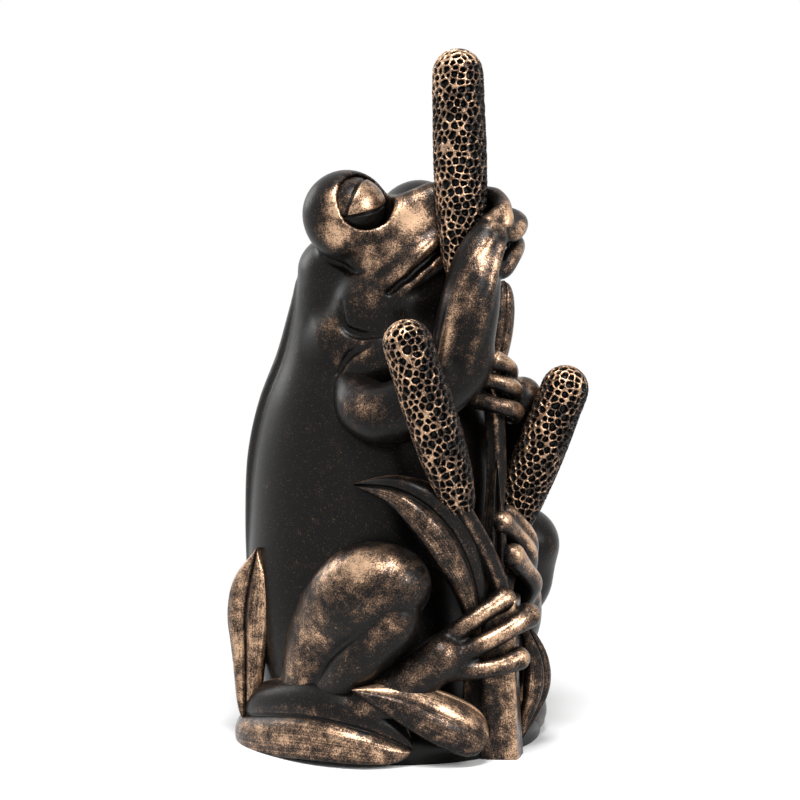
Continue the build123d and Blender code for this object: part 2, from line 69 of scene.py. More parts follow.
def show(name, points, corners, finish, nodes, rub_and_light):
    """Makes a piece from points (n, 3) in millimetres and faces (m, 4), and says which solids it replaces.
    A face whose last two corners are the same is a triangle."""
    if signed_volume(points, corners) < 0:
        corners = corners[:, ::-1]
    faces = [row if row[2] != row[3] else row[:3] for row in corners.tolist()]
    mesh = bpy.data.meshes.new(name)
    mesh.from_pydata(np.round(points * MM, 7), [], faces)
    mesh.shade_smooth()
    mesh.attributes.new("rub_and_light", "FLOAT", "POINT").data.foreach_set("value", np.asarray(rub_and_light, np.float32))
    mesh.materials.append(finish)
    piece = bpy.data.objects.new(name, mesh)
    bpy.context.scene.collection.objects.link(piece)
    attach(piece, "root")
    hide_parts(*nodes)
    print(name, len(points), "points", len(faces), "faces")


CUT_CORNER = np.array([(0, 0, 0), (10, 0, 0), (0, 10, 0), (0, 0, 10)])
CUT_FACES = np.array([(0, 2, 1, 1), (0, 1, 3, 3), (0, 3, 2, 2), (1, 2, 3, 3)])
print("the corner of a 10 mm cube holds", signed_volume(CUT_CORNER, CUT_FACES), "cubic mm")

# %% [markdown]
# ## The finish: rubbed bronze
# The casting is stained with a black-brown patina that stays in every hollow. Where the cloth has been, the
# stain thins to brown, and on the ridges copper-gold powder shows. Painting that by hand would need image
# files, so a ramp of the three colours follows a value on the points, which holds the rubbing and, in places,
# painted light and shade. Its edge is broken up by two noises: one of about three millimetres for the
# patches that the cloth leaves, and one of 0.3 mm for the grain of the powder. A third noise scatters a few
# specks of gold dust.


# %% Colours and one helper for nodes
def linear(hex_code):
    """sRGB hex to linear RGBA: a channel c up to 0.04045 becomes c / 12.92, and one above it
    ((c + 0.055) / 1.055) ** 2.4."""
    c = np.array([int(hex_code[k:k + 2], 16) for k in (1, 3, 5)]) / 255
    return (*np.where(c <= 0.04045, c / 12.92, ((c + 0.055) / 1.055) ** 2.4).tolist(), 1.0)


def add(tree, kind, inputs=None, **settings):
    """Adds a node. Settings are its properties; inputs are values, or the sockets that feed them."""
    node = tree.nodes.new(kind)
    for key, value in settings.items():
        setattr(node, key, value)
    for key, value in (inputs or {}).items():
        if isinstance(value, bpy.types.NodeSocket):
            tree.links.new(value, node.inputs[key])
        else:
            node.inputs[key].default_value = value
    return node


STAIN = "#0c0a09"
REED_STAIN = "#080605"
BASE_STAIN = "#0b0a09"
BROWN = "#5f4c3f"
GOLD = "#cfaa8a"
for shade in (STAIN, BROWN, GOLD):
    print(shade, "in linear light", linear(shade))

# %% Rubbed bronze
# Cold-cast bronze, stained and buffed. The stain is a thin waxed film full of soot: nearly black and satin,
# with an IOR of 1.45 and a low specular level, since its pores swallow much of the gloss. Where it is
# rubbed thin the metal powder shows, brown at first and copper gold on the ridges. The real powder is finer
# than 0.1 mm: its grain and specks are drawn about three times as coarse, or they wouldn't show.
GRAIN_MM = 0.3
SPECK_MM = 0.25
GRAIN_SHARE = 1.2
FIRST_RUBBED = 0.78
RUBBED_RANGE = 0.55
BROWN_PLACE = 0.45
BUMP_MM = 0.05


def rubbed_bronze(name, stain, lift=0.0, dust=0.3, patch_mm=3.2, patchy=1.2):
    """Stain, brown and gold in turn along the rubbing and painted light on the points + lift + grain noise +
    patch noise, plus specks of dust.
    """
    material = bpy.data.materials.new(name)
    material.use_nodes = True
    tree = material.node_tree
    tree.nodes.clear()
    place = add(tree, "ShaderNodeTexCoord").outputs["Object"]
    rub_and_light = add(tree, "ShaderNodeAttribute", attribute_name="rub_and_light").outputs["Fac"]
    noises = []
    for size, detail in ((GRAIN_MM, 3.0), (patch_mm, 5.0), (SPECK_MM, 0.0)):
        inputs = {"Vector": place, "Scale": 1 / (size * MM), "Detail": detail, "Roughness": 0.65}
        noises.append(add(tree, "ShaderNodeTexNoise", inputs).outputs["Fac"])
    grain, patch, specks = noises
    level = rub_and_light
    for noise, amount in ((patch, patchy), (grain, GRAIN_SHARE)):
        inputs = {0: noise, 1: amount, 2: level}
        level = add(tree, "ShaderNodeMath", inputs, operation="MULTIPLY_ADD").outputs[0]
    start = FIRST_RUBBED + patchy / 2 - lift
    span = {"Value": level, "From Min": start, "From Max": start + RUBBED_RANGE}
    shine = add(tree, "ShaderNodeMapRange", span).outputs["Result"]
    span = {"Value": specks, "From Min": 0.72, "From Max": 0.80, "To Max": dust}
    fleck = add(tree, "ShaderNodeMapRange", span).outputs["Result"]
    metal = add(tree, "ShaderNodeMath", {0: shine, 1: fleck}, operation="MAXIMUM").outputs[0]
    tone = add(tree, "ShaderNodeValToRGB", {"Fac": metal})
    tone.color_ramp.elements[0].color = linear(stain)
    tone.color_ramp.elements[1].color = linear(GOLD)
    tone.color_ramp.elements.new(BROWN_PLACE).color = linear(BROWN)
    metallic = add(tree, "ShaderNodeMapRange", {"Value": metal, "From Max": 0.5, "To Max": 0.9})
    rough = add(tree, "ShaderNodeMapRange", {"Value": grain, "To Min": 0.2, "To Max": 0.42})
    bump = add(tree, "ShaderNodeBump", {"Height": level, "Strength": 0.3, "Distance": BUMP_MM * MM})
    shader = add(tree, "ShaderNodeBsdfPrincipled", {
        "Base Color": tone.outputs["Color"], "Metallic": metallic.outputs["Result"],
        "Roughness": rough.outputs["Result"], "IOR": 1.45, "Specular IOR Level": 0.18,
        "Normal": bump.outputs["Normal"],
    })
    add(tree, "ShaderNodeOutputMaterial", {"Surface": shader.outputs["BSDF"]})
    print("finish", name, len(tree.nodes), "nodes")
    return material


# Skin, leaves and stems show soft gold patches. The eye and the base keep nearly all of their dark gloss. The
# reed heads have the blackest stain and the strongest patches, so that their ridges flash against the pits.
skin_bronze = rubbed_bronze("skin_bronze", STAIN)
eye_bronze = rubbed_bronze("eye_bronze", STAIN, dust=0.1)
leaf_bronze = rubbed_bronze("leaf_bronze", STAIN, patch_mm=3.0)
stem_bronze = rubbed_bronze("stem_bronze", STAIN, patch_mm=2.5)
reed_bronze = rubbed_bronze("reed_bronze", REED_STAIN, patch_mm=3.0, patchy=1.6, dust=0.0)
base_bronze = rubbed_bronze("base_bronze", BASE_STAIN, lift=-0.3, dust=0.1)

# %% [markdown]
# ## Paths
# Limbs, stems and leaves all follow a smooth line. A Blender curve object would do for a plain tube, but
# here the same line also has to carry radii and widths. So we type a few stations and let a cubic
# curve pass through them, and whatever else a station holds is carried along the same way.


# %% A smooth path
def smooth_path(stations, steps=8):
    """A chain of cubics: between stations b and c, with a before and d after, one that leaves b along
    (c - a) / 2 and reaches c along (d - b) / 2, at `steps` even places in each stretch."""
    rows = np.array(stations, float)
    padded = np.vstack([2 * rows[0] - rows[1], rows, 2 * rows[-1] - rows[-2]])
    a, b, c, d = (padded[k:len(padded) - 3 + k, None] for k in range(4))
    t = np.linspace(0, 1, steps, endpoint=False)[None, :, None]
    curve = b + t * (c - a) / 2 + t**2 * (2 * a - 5 * b + 4 * c - d) / 2 + t**3 * (3 * b - a - 3 * c + d) / 2
    return np.vstack([curve.reshape(-1, rows.shape[1]), rows[-1]])


def mirrored(stations):
    """The same stations on the frog's other side: y changes sign."""
    rows = np.array(stations, float)
    rows[:, 1] *= -1
    return rows


print("three stations become", len(smooth_path([(0, 0), (1, 1), (2, 0)])), "points")

# %% [markdown]
# ## Modelling clay
# The frog is one soft form: an eye dome melts into a brow, a finger into a palm, a fold of skin into the
# flank. A grid of two parameters can't branch like that, and joined tubes show their seams. So the flesh is
# modelled as a sculptor does, by adding and cutting clay. The clay is a grid of distances to the surface,
# negative inside. Adding a roll of clay is a smooth minimum of two distances, cutting a groove is a smooth
# maximum, and Blender's own volume library turns the zero level into a skin.

# %% Rolls of clay that melt together
FAR = 9.0


def melt(one, two, blend):
    """Smooth minimum: s = clamp(0.5 + (two - one) / (2 blend)); mix(two, one, s) - blend s (1 - s)."""
    share = np.clip(0.5 + 0.5 * (two - one) / blend, 0, 1)
    return two + (one - two) * share - blend * share * (1 - share)


def roll_distance(cells, path):
    """Distance to a roll of clay: to the nearest point of each stretch of its path, less the radius there."""
    x, y, z = cells
    best = np.float32(FAR)
    for a, b in zip(path[:-1], path[1:]):
        d = b - a
        along = ((x - a[0]) * d[0] + (y - a[1]) * d[1] + (z - a[2]) * d[2]) / max(d[:3] @ d[:3], 1e-6)
        along = np.clip(along, 0, 1)
        gap = (x - a[0] - along * d[0]) ** 2 + (y - a[1] - along * d[1]) ** 2 + (z - a[2] - along * d[2]) ** 2
        best = np.minimum(best, np.sqrt(gap) - (a[3] + along * d[3]))
    return best


print("where two skins meet, a blend of 2 mm swells them by", -melt(0.0, 0.0, 2.0), "mm")

# %% A block of clay
ROOM = 3.0


class Clay:
    """A block of clay: distances in millimetres on a grid that starts at `low`, in cells of `cell`."""

    def __init__(self, low, high, cell):
        self.low, self.cell = np.array(low, float), cell
        count = np.ceil((np.array(high) - self.low) / cell).astype(int) + 1
        self.field = np.full(count, FAR, np.float32)

    def window(self, low, high):
        """The part of the grid inside a box, as slices, with the coordinates of its cells."""
        start = np.maximum(np.floor((low - self.low) / self.cell).astype(int), 0)
        stop = np.minimum(np.ceil((high - self.low) / self.cell).astype(int) + 1, self.field.shape)
        axes = [self.low[k] + self.cell * np.arange(start[k], stop[k], dtype=np.float32) for k in range(3)]
        return tuple(map(slice, start, stop)), np.meshgrid(*axes, indexing="ij", sparse=True)

    def whole(self):
        """The window that holds the whole block."""
        return self.window(self.low, self.low + self.cell * np.array(self.field.shape))

    def reach(self, path, spare):
        """The window round a path with radii, with some spare room."""
        path = np.asarray(path, float)
        margin = path[:, 3:].max() + spare
        return self.window(path[:, :3].min(0) - margin, path[:, :3].max(0) + margin)

    def add(self, path, blend):
        """Adds a roll of clay along a path (x, y, z, radius): the smooth minimum of the clay and the roll."""
        part, cells = self.reach(path, blend + ROOM)
        self.field[part] = melt(self.field[part], roll_distance(cells, path), blend)

    def carve(self, path, blend):
        """Cuts a groove along a path: the smooth maximum of the clay and the outside of the roll."""
        part, cells = self.reach(path, blend + ROOM)
        self.field[part] = -melt(-self.field[part], roll_distance(cells, path), blend)

    def add_stack(self, rows, cells, part, blend):
        """Adds a stack of ellipses. A row is a height, then a centre and half width in each direction."""
        across, along, height = cells
        table = smooth_path(rows)
        shape = [np.interp(height, table[:, 0], table[:, k]) for k in range(1, 5)]
        ring = np.sqrt(((across - shape[0]) / shape[1]) ** 2 + ((along - shape[2]) / shape[3]) ** 2) - 1
        gap = ring * np.minimum(shape[1], shape[3])
        gap = np.maximum(gap, np.maximum(table[0, 0] - height, height - table[-1, 0]))
        self.field[part] = melt(self.field[part], gap.astype(np.float32), blend)


pellet = Clay((-6, -6, -6), (6, 6, 6), 0.5)
pellet.add(np.array([(0, 0, -1, 3.0), (0, 0, 1, 3.0)]), 1.0)
print("a trial pellet of clay fills", (pellet.field < 0).sum() * pellet.cell**3, "cubic mm")

# %% Reading the clay
STRIDE = 2.0
LEAST_SLOPE = 0.2


def value_at(clay, grid, points):
    """Value of a grid at points between its cells: the mean of the eight cells round each, by nearness."""
    at = np.clip((points - clay.low) / clay.cell, 0, np.array(grid.shape) - 1.001)
    low = at.astype(int)
    t = at - low
    value = 0
    for corner in np.ndindex(2, 2, 2):
        i, j, k = (low + corner).T
        value = value + grid[i, j, k] * np.prod(np.where(corner, t, 1 - t), axis=1)
    return value


def slope_at(clay, points):
    """Outward slope of the field at points: differences over one cell to either side, along each axis."""
    sides = []
    for step in np.eye(3) * clay.cell:
        sides.append(value_at(clay, clay.field, points + step) - value_at(clay, clay.field, points - step))
    return np.stack(sides, 1) / (2 * clay.cell)


def settle(clay, path, depth):
    """Slides the points of a path along the slope of the field until they lie at a depth in the clay."""
    path = np.array(path, float)
    for _ in range(8):
        slope = slope_at(clay, path[:, :3])
        gap = value_at(clay, clay.field, path[:, :3]) + depth
        push = np.clip(gap, -STRIDE, STRIDE)[:, None] * slope
        path[:, :3] -= push / np.maximum((slope**2).sum(1), LEAST_SLOPE)[:, None]
    return path


def bulge(clay, reach_mm):
    """Curvature per millimetre: the sum of second differences of the field over a reach along each axis."""
    n = max(1, round(reach_mm / clay.cell))
    field = clay.field
    total = sum(np.roll(field, n, k) + np.roll(field, -n, k) - 2 * field for k in range(3))
    return total / (n * clay.cell) ** 2


def skin(clay):
    """The zero level of the field as points in millimetres and four-cornered faces."""
    grid = openvdb.FloatGrid(FAR)
    grid.copyFromArray(np.ascontiguousarray(clay.field))
    points, corners = grid.convertToQuads(isovalue=0.0)
    return clay.low + points.astype(float) * clay.cell, corners.astype(int)


print("the skin of the pellet has", len(skin(pellet)[1]), "faces")

# %% [markdown]
# ## Where the cloth rubs, and painted light
# A polishing cloth takes the stain off what stands out: ridges, knuckles and the rounds of thigh and cheek.
# That could be painted point by point, but on the clay it is its curvature, read at a fine and at a broad
# reach, so it follows every change of the shape. Skin that faces outwards and up is made lighter, and a few
# soft spots add the places that were rubbed most on the real figure; on the cheek and the lower thigh the
# spots also paint the highlight of the top lamp and the sheen of the white floor.

# %% Rubbing and painted light of a clay piece
FROG_AXIS = np.array([-5.0, 0.0, 0.0])
FINE_REACH, FINE_SHARE, FINE_LIMIT = 0.9, 0.14, 2.5
BROAD_REACH, BROAD_SHARE, BROAD_LIMIT = 2.4, 0.35, 0.8
UPWARD = 0.5
HALF_FACING = 0.55


def rubbing_and_light(clay, points, spots, base, outer=0.0):
    """The value on each point: base + fine curvature + broad curvature + how far the skin faces outwards and
    up + the strongest of the spots, each a bell round its centre. Some spots are painted highlight and sheen."""
    fine = np.clip(value_at(clay, bulge(clay, FINE_REACH), points), -FINE_LIMIT, FINE_LIMIT)
    broad = np.clip(value_at(clay, bulge(clay, BROAD_REACH), points), -BROAD_LIMIT, BROAD_LIMIT)
    slope = slope_at(clay, points)
    out = (points - FROG_AXIS) * (1, 1, 0)
    out = out / np.linalg.norm(out, axis=1, keepdims=True) + (0, 0, UPWARD)
    facing = (slope * out).sum(1) / np.maximum(np.linalg.norm(slope, axis=1), LEAST_SLOPE)
    value = base + FINE_SHARE * fine + BROAD_SHARE * broad + outer * (facing - HALF_FACING)
    bells = np.zeros(len(points))
    for x, y, z, radius, strength in spots:
        far = ((points - (x, y, z)) ** 2).sum(1) / radius**2
        bells = np.maximum(bells, strength * np.exp(-far))
    return value + bells


print("rub on the pellet, on average", rubbing_and_light(pellet, skin(pellet)[0], (), 0.0).mean())

# %% [markdown]
# ## Trunk and head
# The trunk is a pear of level ellipses, the head a second stack of ellipses along the snout, tilted up by
# 42 degrees. Torso and head are two castings, but their seam is filled and can't be seen, so one skin
# covers both. Two skins that cross would show a hard line at the neck, which is why both are melted in one
# block of clay.

# %% Torso and head
TORSO_ROWS = (
    # height, middle x, half depth, middle y, half width
    (6.0, -5.0, 25.0, 0, 26.0), (20.0, -6.0, 26.2, 0, 27.7), (33.8, -7.5, 26.2, 0, 27.7),
    (47.5, -7.5, 26.6, 0, 26.5), (61.2, -7.3, 26.4, 0, 24.8), (73.0, -7.8, 23.2, 0, 22.2),
    (83.8, -8.6, 17.4, 0, 18.8), (93.0, -8.8, 14.9, 0, 16.7), (100.0, -8.4, 14.2, 0, 16.4),
    (105.5, -9.0, 13.4, 0, 15.0), (109.5, -9.2, 10.4, 0, 11.6), (112.0, -9.0, 5.5, 0, 6.2),
)
HEAD_ROWS = (
    # place along the snout, half width, drop of the middle, half depth
    (-10.0, 13.9, -10.1, 11.0), (-2.0, 16.5, -10.1, 12.0), (6.0, 16.5, -9.5, 11.6), (14.0, 13.3, -7.5, 9.2),
    (20.0, 9.8, -6.0, 6.8), (25.0, 5.8, -5.0, 4.2), (27.5, 2.2, -4.7, 1.6),
)
TRUNK_CELL = 0.56
TORSO_BLEND, HEAD_BLEND = 1.0, 5.0
HEAD_PLACE = np.array([-4.0, 0.0, 106.0])
HEAD_TILT = math.radians(42)
SNOUT = np.array([math.cos(HEAD_TILT), 0, math.sin(HEAD_TILT)])
CROWN = np.array([-math.sin(HEAD_TILT), 0, math.cos(HEAD_TILT)])

trunk = Clay((-37, -30, 4), (26, 30, 127), TRUNK_CELL)
part, (x, y, z) = trunk.whole()
trunk.add_stack(TORSO_ROWS, (x, y, z), part, TORSO_BLEND)
ahead = (x - HEAD_PLACE[0]) * SNOUT[0] + (z - HEAD_PLACE[2]) * SNOUT[2]
above = (x - HEAD_PLACE[0]) * CROWN[0] + (z - HEAD_PLACE[2]) * CROWN[2]
trunk.add_stack([(s, 0, w, m, h) for s, w, m, h in HEAD_ROWS], (y, above, ahead), part, HEAD_BLEND)
print("trunk block", trunk.field.shape, "cells")

# %% [markdown]
# ## Eye domes, mouth and folds of skin
# On the real figure the face was pressed up from the head: domes for the eyes, a brow between them, rolled
# lips and a pouch at the throat. A fold of skin runs down each side of the back. Bump in a material would
# leave the outline smooth, so each is a roll of clay, and the mouth and the creases are cut along paths
# that first settle on the skin. They are typed for the frog's right and mirrored.

# %% Rolls and creases
FOLD_TURN = math.radians(38)
FOLD_SINK = 0.965
FOLD_GIRTHS = (1.3, 2.0, 2.4, 2.4, 2.4, 1.9, 0.8)
back_fold = []
for (height, middle, depth, _, width), girth in zip(TORSO_ROWS[2:], FOLD_GIRTHS):
    behind = middle - FOLD_SINK * depth * math.cos(FOLD_TURN)
    beside = -FOLD_SINK * width * math.sin(FOLD_TURN)
    back_fold.append((behind, beside, height, girth))
ROLLS = (
    # stations (x, y, z, radius), blend
    # brow, ridge from the eye to the nostril
    ([(-3, -12, 112, 7.0), (-2, 0, 111.5, 7.5)], 4.0),
    ([(3, -13, 112, 4.5), (8, -9.5, 116, 3.2), (13.5, -6, 119.5, 2.2)], 4.0),
    # throat, shoulder, chest, belly
    ([(2, -13, 95, 6.5), (9, -9, 95.5, 6.5), (13, 0, 98.5, 6.5)], 3.0),
    ([(-4, -13.5, 88, 6.0), (5, -13, 85.5, 6.0)], 4.0),
    ([(4, -12, 82, 6.0), (12, -9, 86, 6.5), (14, 0, 88, 6.5)], 4.0),
    ([(12, 2, 45, 9.0), (13, 2, 60, 9.5), (12, 2, 72, 8.5)], 4.0),
    # upper lip, lower lip, back
    ([(18, -5, 112, 1.6), (15, -11, 107.5, 1.8), (11, -14.5, 102, 1.8), (6, -16.5, 97.5, 1.4)], 1.5),
    ([(17, -5, 107, 1.3), (14.5, -11, 102.5, 1.4), (11, -14, 98.5, 1.2)], 1.5),
    (back_fold, 1.5),
)
CREASES = (
    # stations (x, y, z, radius), depth: mouth, under the eye, two at the shoulder
    ([(19, -1.5, 112.5, 1.2), (16.5, -8, 107.5, 1.1), (13, -12, 102, 1.0), (9, -15, 98.2, 0.5)], 0.4),
    ([(-10, -17, 106, 0.3), (-6, -18.5, 104, 0.7), (-1, -18.8, 103.4, 0.7), (3, -18, 103.6, 0.2)], 0.2),
    ([(-0.5, -18.7, 96, 0.3), (-0.2, -18.4, 91.2, 0.9), (3.6, -18.2, 89.4, 1.0), (8, -16.5, 89.2, 0.5)], 0.2),
    ([(-2.1, -19.8, 81, 0.4), (1.5, -19.7, 85.2, 1.0), (6.5, -17.4, 87, 0.5)], 0.2),
)
print(len(ROLLS), "rolls and", len(CREASES), "creases on each side")

# %% Modelling both sides
EYES = {1: np.array([-3.7, -13.2, 115.3]), -1: np.array([-2.6, 13.0, 114.0])}
GAZE = np.array([0.906, -0.287, 0.312])
DOME_RADIUS, DOME_BLEND = 9.5, 1.6
OPENING_RADIUS, OPENING_AHEAD, OPENING_DEEP, OPENING_BLEND = 6.5, 4.8, 2, 1.0
CREASE_BLEND = 0.7


def ball(centre, radius, way):
    """A short roll: a ball that is drawn out a little along its way."""
    return np.array([[*centre, radius], [*(centre + way), radius]])


for side in (1, -1):
    flip = np.array([1, side, 1, 1])
    gaze = GAZE * flip[:3]
    trunk.add(ball(EYES[side], DOME_RADIUS, gaze / 4), DOME_BLEND)
    for stations, blend in ROLLS:
        trunk.add(smooth_path(stations) * flip, blend)
    for stations, depth in CREASES:
        trunk.carve(settle(trunk, smooth_path(stations) * flip, depth), CREASE_BLEND)
    opening = EYES[side] + OPENING_AHEAD * gaze
    trunk.carve(ball(opening, OPENING_RADIUS, OPENING_DEEP * gaze), OPENING_BLEND)
trunk_points, trunk_corners = skin(trunk)
print("trunk skin from", trunk_points.min(0), "to", trunk_points.max(0), "mm")

# %% Rubbing and painted light on the trunk
TRUNK_SPOTS = (
    # x, y, z, radius, strength
    # round the eye
    (-0.8, -21.1, 110.9, 3.8, 0.68), (-4.3, -21.6, 111, 2.8, 0.3), (-1, -21.4, 119.1, 2.2, 0.62),
    (0, -21.8, 115.8, 2.2, 0.6),
    # snout and cheek; the cheek spots also paint the pale highlight of the top lamp
    (7.5, -13, 113, 5.0, 0.6), (11, -11, 114, 6.0, 0.85), (4, -16, 106, 5.0, 0.68), (9, -14, 108, 5.0, 0.6),
    (14, -9.5, 107, 3.5, 0.5),
    # lips, throat and shoulder
    (10.5, -13.5, 101, 3.0, 0.4), (5, -17, 98, 3.5, 0.35), (-4, -19, 92, 4.0, 0.3), (-1, -20, 84, 3.0, 0.3),
    (5, -18, 86, 3.0, 0.3),
)
SOCKET_SHADE = 0.7
rub_and_light = rubbing_and_light(trunk, trunk_points, [*TRUNK_SPOTS, *mirrored(TRUNK_SPOTS)], base=-0.06)
for side, eye in EYES.items():
    socket = eye + (OPENING_AHEAD + OPENING_DEEP) * GAZE * (1, side, 1)
    rub_and_light -= SOCKET_SHADE * np.exp(-((trunk_points - socket) ** 2).sum(1) / OPENING_RADIUS**2)
show("frog_trunk", trunk_points, trunk_corners, skin_bronze, ["torso", "head"], rub_and_light)

# %% [markdown]
# ## Arms, legs and feet
# Each limb is a roll of clay along its bones, thick at the muscle and thin at the wrist. Fingers and toes
# are thinner rolls that melt into the palm and end in the round pads of a tree frog. Separate tubes would
# be quicker, but they show a seam at every knuckle. The fingers leave their hand, swing out and close round
# the reed, so the grip looks firm from every side.

# %% Limb helper
LIMB_CELL = 0.4
BONE_BLEND = 1.5


def limb(name, rolls, spots, nodes, **looks):
    """A clay piece from rolls (stations, blend), with its spots of rubbing and of painted sheen."""
    paths = [(smooth_path(stations), blend) for stations, blend in rolls]
    every = np.vstack([path for path, _ in paths])
    margin = every[:, 3:].max(1, keepdims=True) + ROOM
    clay = Clay((every[:, :3] - margin).min(0), (every[:, :3] + margin).max(0), LIMB_CELL)
    for path, blend in paths:
        clay.add(path, blend)
    points, corners = skin(clay)
    show(name, points, corners, skin_bronze, nodes, rubbing_and_light(clay, points, spots, **looks))


print("limbs are modelled in cells of", LIMB_CELL, "mm")

# %% Finger helper
FINGER_RADIUS = 1.9
FINGER_BLEND = 0.45
LAST_JOINT, PAD = 0.92, 1.2


def fingers(hand, foot, lean, rows):
    """Rolls for the fingers: from the palm, halfway up to the first place, then round the axis of the reed,
    which is foot + lean (height - foot height). The last joint is slimmer and the pad at the tip wider."""
    x, y, z, _ = hand[-1]
    rolls = []
    for places in rows:
        stations = [(x, y, (z + places[0][2]) / 2, FINGER_RADIUS)]
        for turn, reach, height in places:
            axis = foot + lean * (height - foot[2])
            angle = math.radians(turn)
            across, along = axis[0] + reach * math.cos(angle), axis[1] + reach * math.sin(angle)
            stations.append((across, along, height, FINGER_RADIUS))
        stations[-2] = (*stations[-2][:3], LAST_JOINT * FINGER_RADIUS)
        stations[-1] = (*stations[-1][:3], PAD * FINGER_RADIUS)
        rolls.append((stations, FINGER_BLEND))
    return rolls


print("finger pads", 2 * PAD * FINGER_RADIUS, "mm across")

# %% Right arm
TALL_TOP = np.array([20.3, -6.05, 150.0])
TALL_FOOT = np.array([22.04, -6.05, 100.0])
TALL_LENGTH, TALL_RADIUS = 50.0, 5.75
TALL_LEAN = (TALL_TOP - TALL_FOOT) / TALL_LENGTH
RIGHT_ARM = [
    (1, -15, 77, 5.8), (6, -18.8, 73.6, 6.4), (13, -19.6, 73.0, 6.8), (20, -16.5, 77, 6.6),
    (25.5, -12.2, 83, 6.4), (26.2, -12.2, 89, 6.5), (27.8, -12.2, 97, 6.2), (28.8, -11.2, 105, 5.0),
    (30.4, -9.2, 110, 4.0),
]
TENDONS = [
    ([(25, -18.5, 84, 1.6), (27, -18, 93, 1.6), (29.5, -16, 103, 1.4), (32, -12, 109, 1.2)], 1.0),
    ([(29, -16, 82, 1.4), (31.5, -15, 92, 1.5), (33, -13, 101, 1.4), (33.5, -10, 108, 1.2)], 1.0),
]
RIGHT_FINGERS = (
    # degrees round the reed, reach from its axis, height
    ((10, 9.4, 116.0), (38, 7.5, 118.8), (75, 6.8, 119.0)),
    ((0, 10.6, 113.0), (8, 9.6, 115.8), (35, 8.2, 116.8), (65, 7.4, 115.8)),
    ((12, 11.4, 111.0), (36, 12.1, 113.6), (66, 10.3, 115.4), (95, 7.7, 115.0)),
    ((-6, 10.2, 103.2), (14, 11.0, 106.2), (40, 11.4, 109.0), (70, 10.0, 110.4), (95, 7.7, 110.2)),
)
RIGHT_ARM_SPOTS = (
    (9, -26, 74, 6.0, 0.28), (25, -18, 90, 6.0, 0.52), (27, -18, 97, 6.0, 0.52), (32, -14, 106, 5.0, 0.42),
    (33, -7, 114, 4.5, 0.55), (35, -3, 109, 4.0, 0.35),
)
right_fingers = fingers(RIGHT_ARM, TALL_FOOT, TALL_LEAN, RIGHT_FINGERS)
limb("frog_right_arm", [(RIGHT_ARM, BONE_BLEND), *TENDONS, *right_fingers], RIGHT_ARM_SPOTS, ["right_arm"],
     base=-0.2, outer=0.4)

# %% Left arm
LEFT_GRIP = np.array([27.25, -3.0, 0.0])
UPRIGHT = np.array([0, 0, 1.0])
LEFT_ARM = [
    (-1, 15, 79, 6.5), (6, 21, 74, 7.2), (15, 22.5, 67, 7.4), (22, 18.5, 64, 6.8), (27, 12, 69, 5.2),
    (29.5, 6, 76, 4.2),
]
LEFT_FINGERS = (
    # degrees round the stem, reach from its axis, height
    ((62, 4.2, 79.6), (28, 3.9, 81.7), (-12, 4.2, 83.2), (-48, 4.0, 84.2)),
    ((62, 5.0, 76.0), (28, 4.8, 77.7), (-12, 4.5, 78.9), (-48, 4.2, 79.8), (-82, 4.2, 80.4)),
    ((62, 5.4, 72.0), (28, 5.2, 73.2), (-12, 4.8, 74.1), (-48, 4.5, 74.8), (-96, 4.7, 76.0)),
)
LEFT_ARM_SPOTS = ((31, -2, 79, 5.0, 0.3),)
left_fingers = fingers(LEFT_ARM, LEFT_GRIP, UPRIGHT, LEFT_FINGERS)
limb("frog_left_arm", [(LEFT_ARM, BONE_BLEND), *left_fingers], LEFT_ARM_SPOTS, ["left_arm"],
     base=-0.14, outer=0.6)

# %% Legs
THIGH = (
    (-3.5, -20.5, 14, 10.4), (0.5, -22, 26, 10.5), (9, -24.5, 34.5, 10.8), (16, -25.5, 37.5, 8.8),
    (19.5, -25.5, 38, 6.2),
)
SHIN = (
    (17.5, -25.5, 36.5, 4.8), (19, -27.2, 31, 5.2), (15.5, -28, 25.8, 5.0), (9.5, -28, 20, 5.2),
    (3, -26.5, 13.5, 5.2),
)
# The two lower spots, at heights 28 and 19, also paint the grey sheen that the white floor reflects onto the
# lower thigh.
LEG_SPOTS = (
    (5, -33, 41, 7.0, 0.5), (14, -32, 43, 6.0, 0.55), (2.5, -32, 28, 7.0, 0.52), (-4, -31, 19, 6.0, 0.4),
    (17, -32, 32, 5.0, 0.36),
)
# The left knee is drawn up higher and is fuller: what each station gains in height and in radius.
LEFT_THIGH_RISE = (0, 0, 1.0, 2.2, 2.6)
LEFT_THIGH_SWELL = (0, 0, 0.4, 0.8, 0.8)
LEFT_SHIN_RISE = (2.6, 1.8, 0.6, 0, 0)
for name, side, shin_blend in (("right", 1, 0.5), ("left", -1, 2.5)):
    thigh, shin = np.array(THIGH) * (1, side, 1, 1), np.array(SHIN) * (1, side, 1, 1)
    if name == "left":
        thigh[:, 2] += LEFT_THIGH_RISE
        thigh[:, 3] += LEFT_THIGH_SWELL
        shin[:, 2] += LEFT_SHIN_RISE
    spots = np.array(LEG_SPOTS) * (1, side, 1, 1, 1)
    limb(f"frog_{name}_leg", [(thigh, BONE_BLEND), (shin, shin_blend)], spots, [f"{name}_leg"],
         base=-0.17, outer=0.5)

